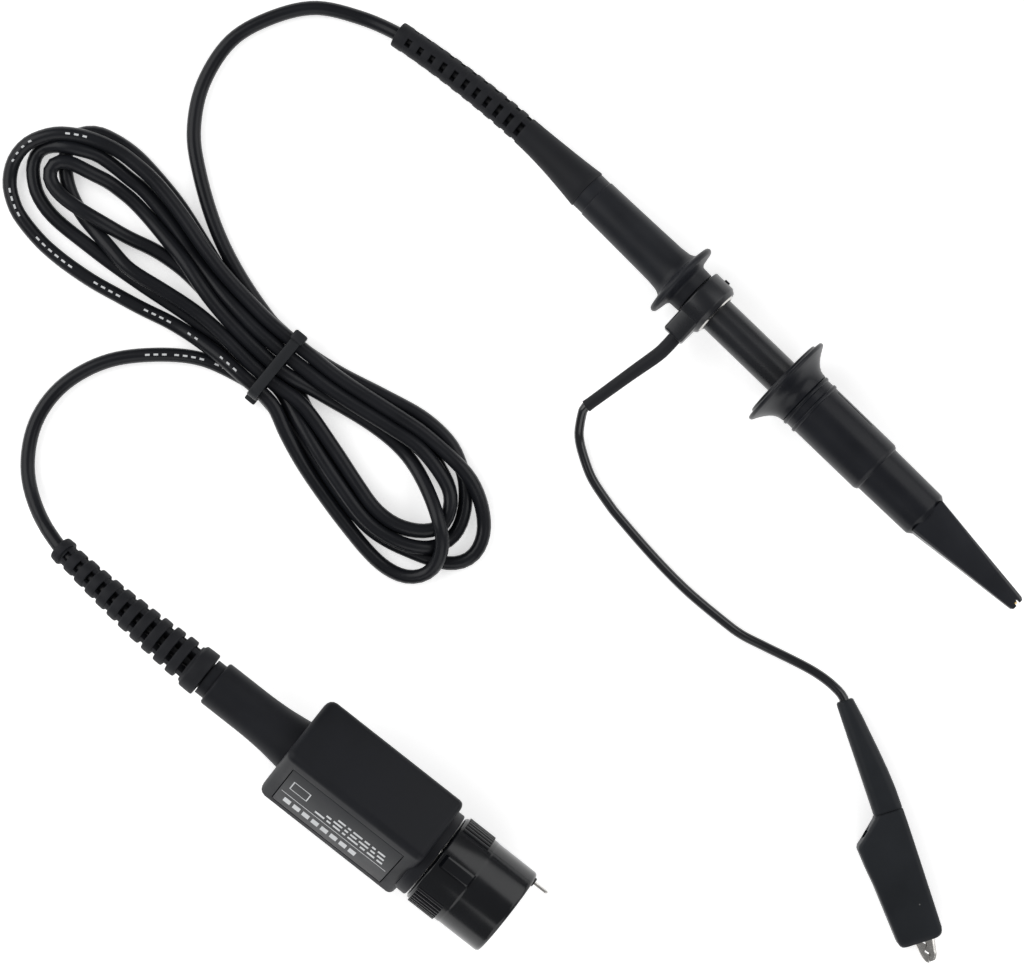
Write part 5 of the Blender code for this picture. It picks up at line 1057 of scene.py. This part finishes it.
def make_collar(finishes, tree):
    outside, roll = 10.1, -6.0
    profile = [(0.0, 7.6, 0.15), (0.0, 9.65, 0.3), (-0.5, 10.0, 0.3), (-9.9, 10.0, 0.1),
               (-10.3, outside, 0.1), (-18.1, outside, 0.15), (-18.5, 9.7, 0.2), (-18.5, 4.45),
               (-12.3, 4.45), (-12.3, 7.6)]
    collar = turned("collar_shell", profile, PLUG, finishes["collar"], "collar", ("lock_collar",), 144)
    for side in (0.0, 180.0):
        sections = []
        for place, rise in ((-17.5, 0.0), (-17.2, 0.5), (-16.8, 0.85), (-11.0, 0.95), (-10.4, 0.85),
                            (-10.0, 0.0)):
            high, low = [], []
            for k in range(13):
                a = radians(90.0 + roll + side + 9.0 * (1 - k / 6))
                edge = 0.0 if k in (0, 12) else (0.82 if k in (1, 11) else 1.0)
                high.append(((10.05 + rise * edge) * cos(a), (10.05 + rise * edge) * sin(a)))
                low.append((9.2 * cos(a), 9.2 * sin(a)))
            sections.append(at_place(place, high + low[::-1]))
        cut(collar, lofted_mesh(sections), PLUG, "UNION")
    y, z = 8.7 * cos(radians(17.0)), 8.7 * sin(radians(17.0))
    boss = [(-1.0, 0.0), (-1.0, 1.0), (0.4, 1.0, 0.15), (0.4, 0.0)]
    cut(collar, turned_mesh(boss, 32), PLUG @ placed((0, y, z)), "UNION")
    cut(collar, rod_mesh((-9.0, y, z), (-3.0, y, z), 0.7, 24), PLUG)
    cut(collar, rod_mesh((-3.4, y, z), (2.0, y, z), 0.5, 24), PLUG)
    points = []
    for side in (0.0, 180.0):
        for k in range(COLLAR_RIBS):
            a = radians(roll + side + 48.0 + 84.0 * k / (COLLAR_RIBS - 1) + 90.0)
            points.append(PLUG @ Vector((-14.5, outside * cos(a), outside * sin(a))) * MM)
    lengthwise = PLUG.to_quaternion().to_matrix() @ Matrix.Rotation(radians(90.0), 3, "Y")
    turns = [tuple(lengthwise.to_euler())] * len(points)
    grown("collar_ribs", tree, points, [], ("bar_turn", "FLOAT_VECTOR", turns),
          {"Length": 6.4 * MM, "Width": 0.42 * MM, "Height": 0.4 * MM}, finishes["collar"], "collar")


# print on the cable

def make_cable_dashes(finishes, tree, path):
    """Plain light dashes in place of the printed words, in groups along two stretches of the cable."""
    along = distances(path)
    points, turns = [], []
    for s in [start + DASH_PITCH * k for start, count in DASH_GROUPS for k in range(count)]:
        here, ahead = Vector(at_distance(path, along, s)), Vector(at_distance(path, along, s + 0.8))
        lean = (ahead - here).normalized()
        side = lean.cross(UP).normalized()
        over = side.cross(lean)
        points.append((here + over * (CABLE_R - DASH_SUNK)) * MM)
        turns.append(tuple(Matrix((side, over, lean)).transposed().to_euler()))
    grown("cable_dashes", tree, points, [], ("bar_turn", "FLOAT_VECTOR", turns),
          {"Length": 0.95 * MM, "Width": 0.4 * MM, "Height": 0.12 * MM}, finishes["print"], "probe")


# cable tie

def make_tie(finishes):
    """A strap drawn round the turns, its end folded over at one side."""
    outline = rounded_outline(-STRAP_HALF, 0.3, STRAP_HALF, STRAP_TOP, STRAP_BEND, 8)
    section = rounded_outline(-STRAP_WIDTH / 2, -0.28, STRAP_WIDTH / 2, 0.28, 0.24, 3)
    bm = bmesh.new()
    rings = []
    for k, (y, z) in enumerate(outline):
        lean = Vector(outline[(k + 1) % len(outline)]) - Vector(outline[k - 1])
        out = Vector((lean.y, -lean.x)).normalized()
        rings.append([bm.verts.new((x, y + out.x * h, z + out.y * h)) for x, h in section])
    for near, far in zip(rings, rings[1:] + rings[:1]):
        join_rings(bm, near, far)
    rounded_block((-1.5, STRAP_HALF - 1.6, 4.6), (1.5, STRAP_HALF + 0.75, STRAP_TOP + 0.55), 0.5, 4, bm)
    rounded_block((-1.2, -STRAP_HALF - 1.3, 1.2), (1.3, -STRAP_HALF + 0.5, 2.3), 0.35, 3, bm)
    keep("strap_band", bm, TIE, finishes["strap"], "probe", ("cable_tie",), 40.0)


# stage

# lower than the part by a fifth of a millimetre, so that what rests on it doesn't sink in
TABLE_HEIGHT = -0.0002
# softboxes, in metres and watts: name, place, width and power
SOFTBOXES = (("left_softbox", (-0.8, 0.3, 0.7), 1.1, 8.0), ("right_softbox", (0.85, 0.3, 0.7), 1.1, 6.0),
             ("front_softbox", (0.1, -0.95, 0.6), 1.0, 4.0))


def make_stage():
    bm = bmesh.new()
    bmesh.ops.create_grid(bm, x_segments=2, y_segments=2, size=3.0)
    mesh = bpy.data.meshes.new("table_top")
    bm.to_mesh(mesh)
    bm.free()
    table = new_object("table_top", mesh)
    table.location.z = TABLE_HEIGHT
    material, _, shader = new_material("pale_table", (0.93, 0.93, 0.93), 0.9, specular=0.1)
    shader.inputs["Emission Color"].default_value = (1.0, 1.0, 1.0, 1.0)
    shader.inputs["Emission Strength"].default_value = 0.5
    mesh.materials.append(material)

    world = bpy.data.worlds.new("soft_room")
    world.use_nodes = True
    background = world.node_tree.nodes["Background"]
    background.inputs["Color"].default_value = (1.0, 1.0, 1.0, 1.0)
    background.inputs["Strength"].default_value = 0.25
    bpy.context.scene.world = world
    for name, place, size, power in SOFTBOXES:
        data = bpy.data.lights.new(name, "AREA")
        data.size = size
        data.energy = power
        light = new_object(name, data)
        light.location = place
        light.rotation_euler = (-Vector(place)).to_track_quat("-Z", "Y").to_euler()
    bpy.context.scene.view_settings.view_transform = "Standard"


def main():
    make_camera()
    finishes = make_materials()
    dress_cad_nodes(finishes)

    cable = cable_path()
    cord = round_cord("long_cable", cable, CABLE_R, finishes["cable"])
    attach(cord, "probe")
    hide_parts("cable_head_run", "cable_box_run", "cable_hank")

    lead = lead_path()
    wire = round_cord("lead_wire", lead, LEAD_R, finishes["lead"])
    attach(wire, "ground_lead_set")
    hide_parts("ground_lead")

    ribs, rods, slabs = ribs_tree(), bars_tree("rod"), bars_tree("slab")
    make_head_boot(finishes, ribs)
    make_grip(finishes)
    make_barrel(finishes)
    make_ring(finishes)
    make_sleeve(finishes)
    make_carrier(finishes)
    make_clip_boot(finishes)
    make_jaws(finishes)
    make_box_boot(finishes, ribs)
    make_box(finishes)
    make_label_bars(finishes)
    make_collar(finishes, rods)
    make_cable_dashes(finishes, slabs, cable)
    make_tie(finishes)

    make_stage()


main()
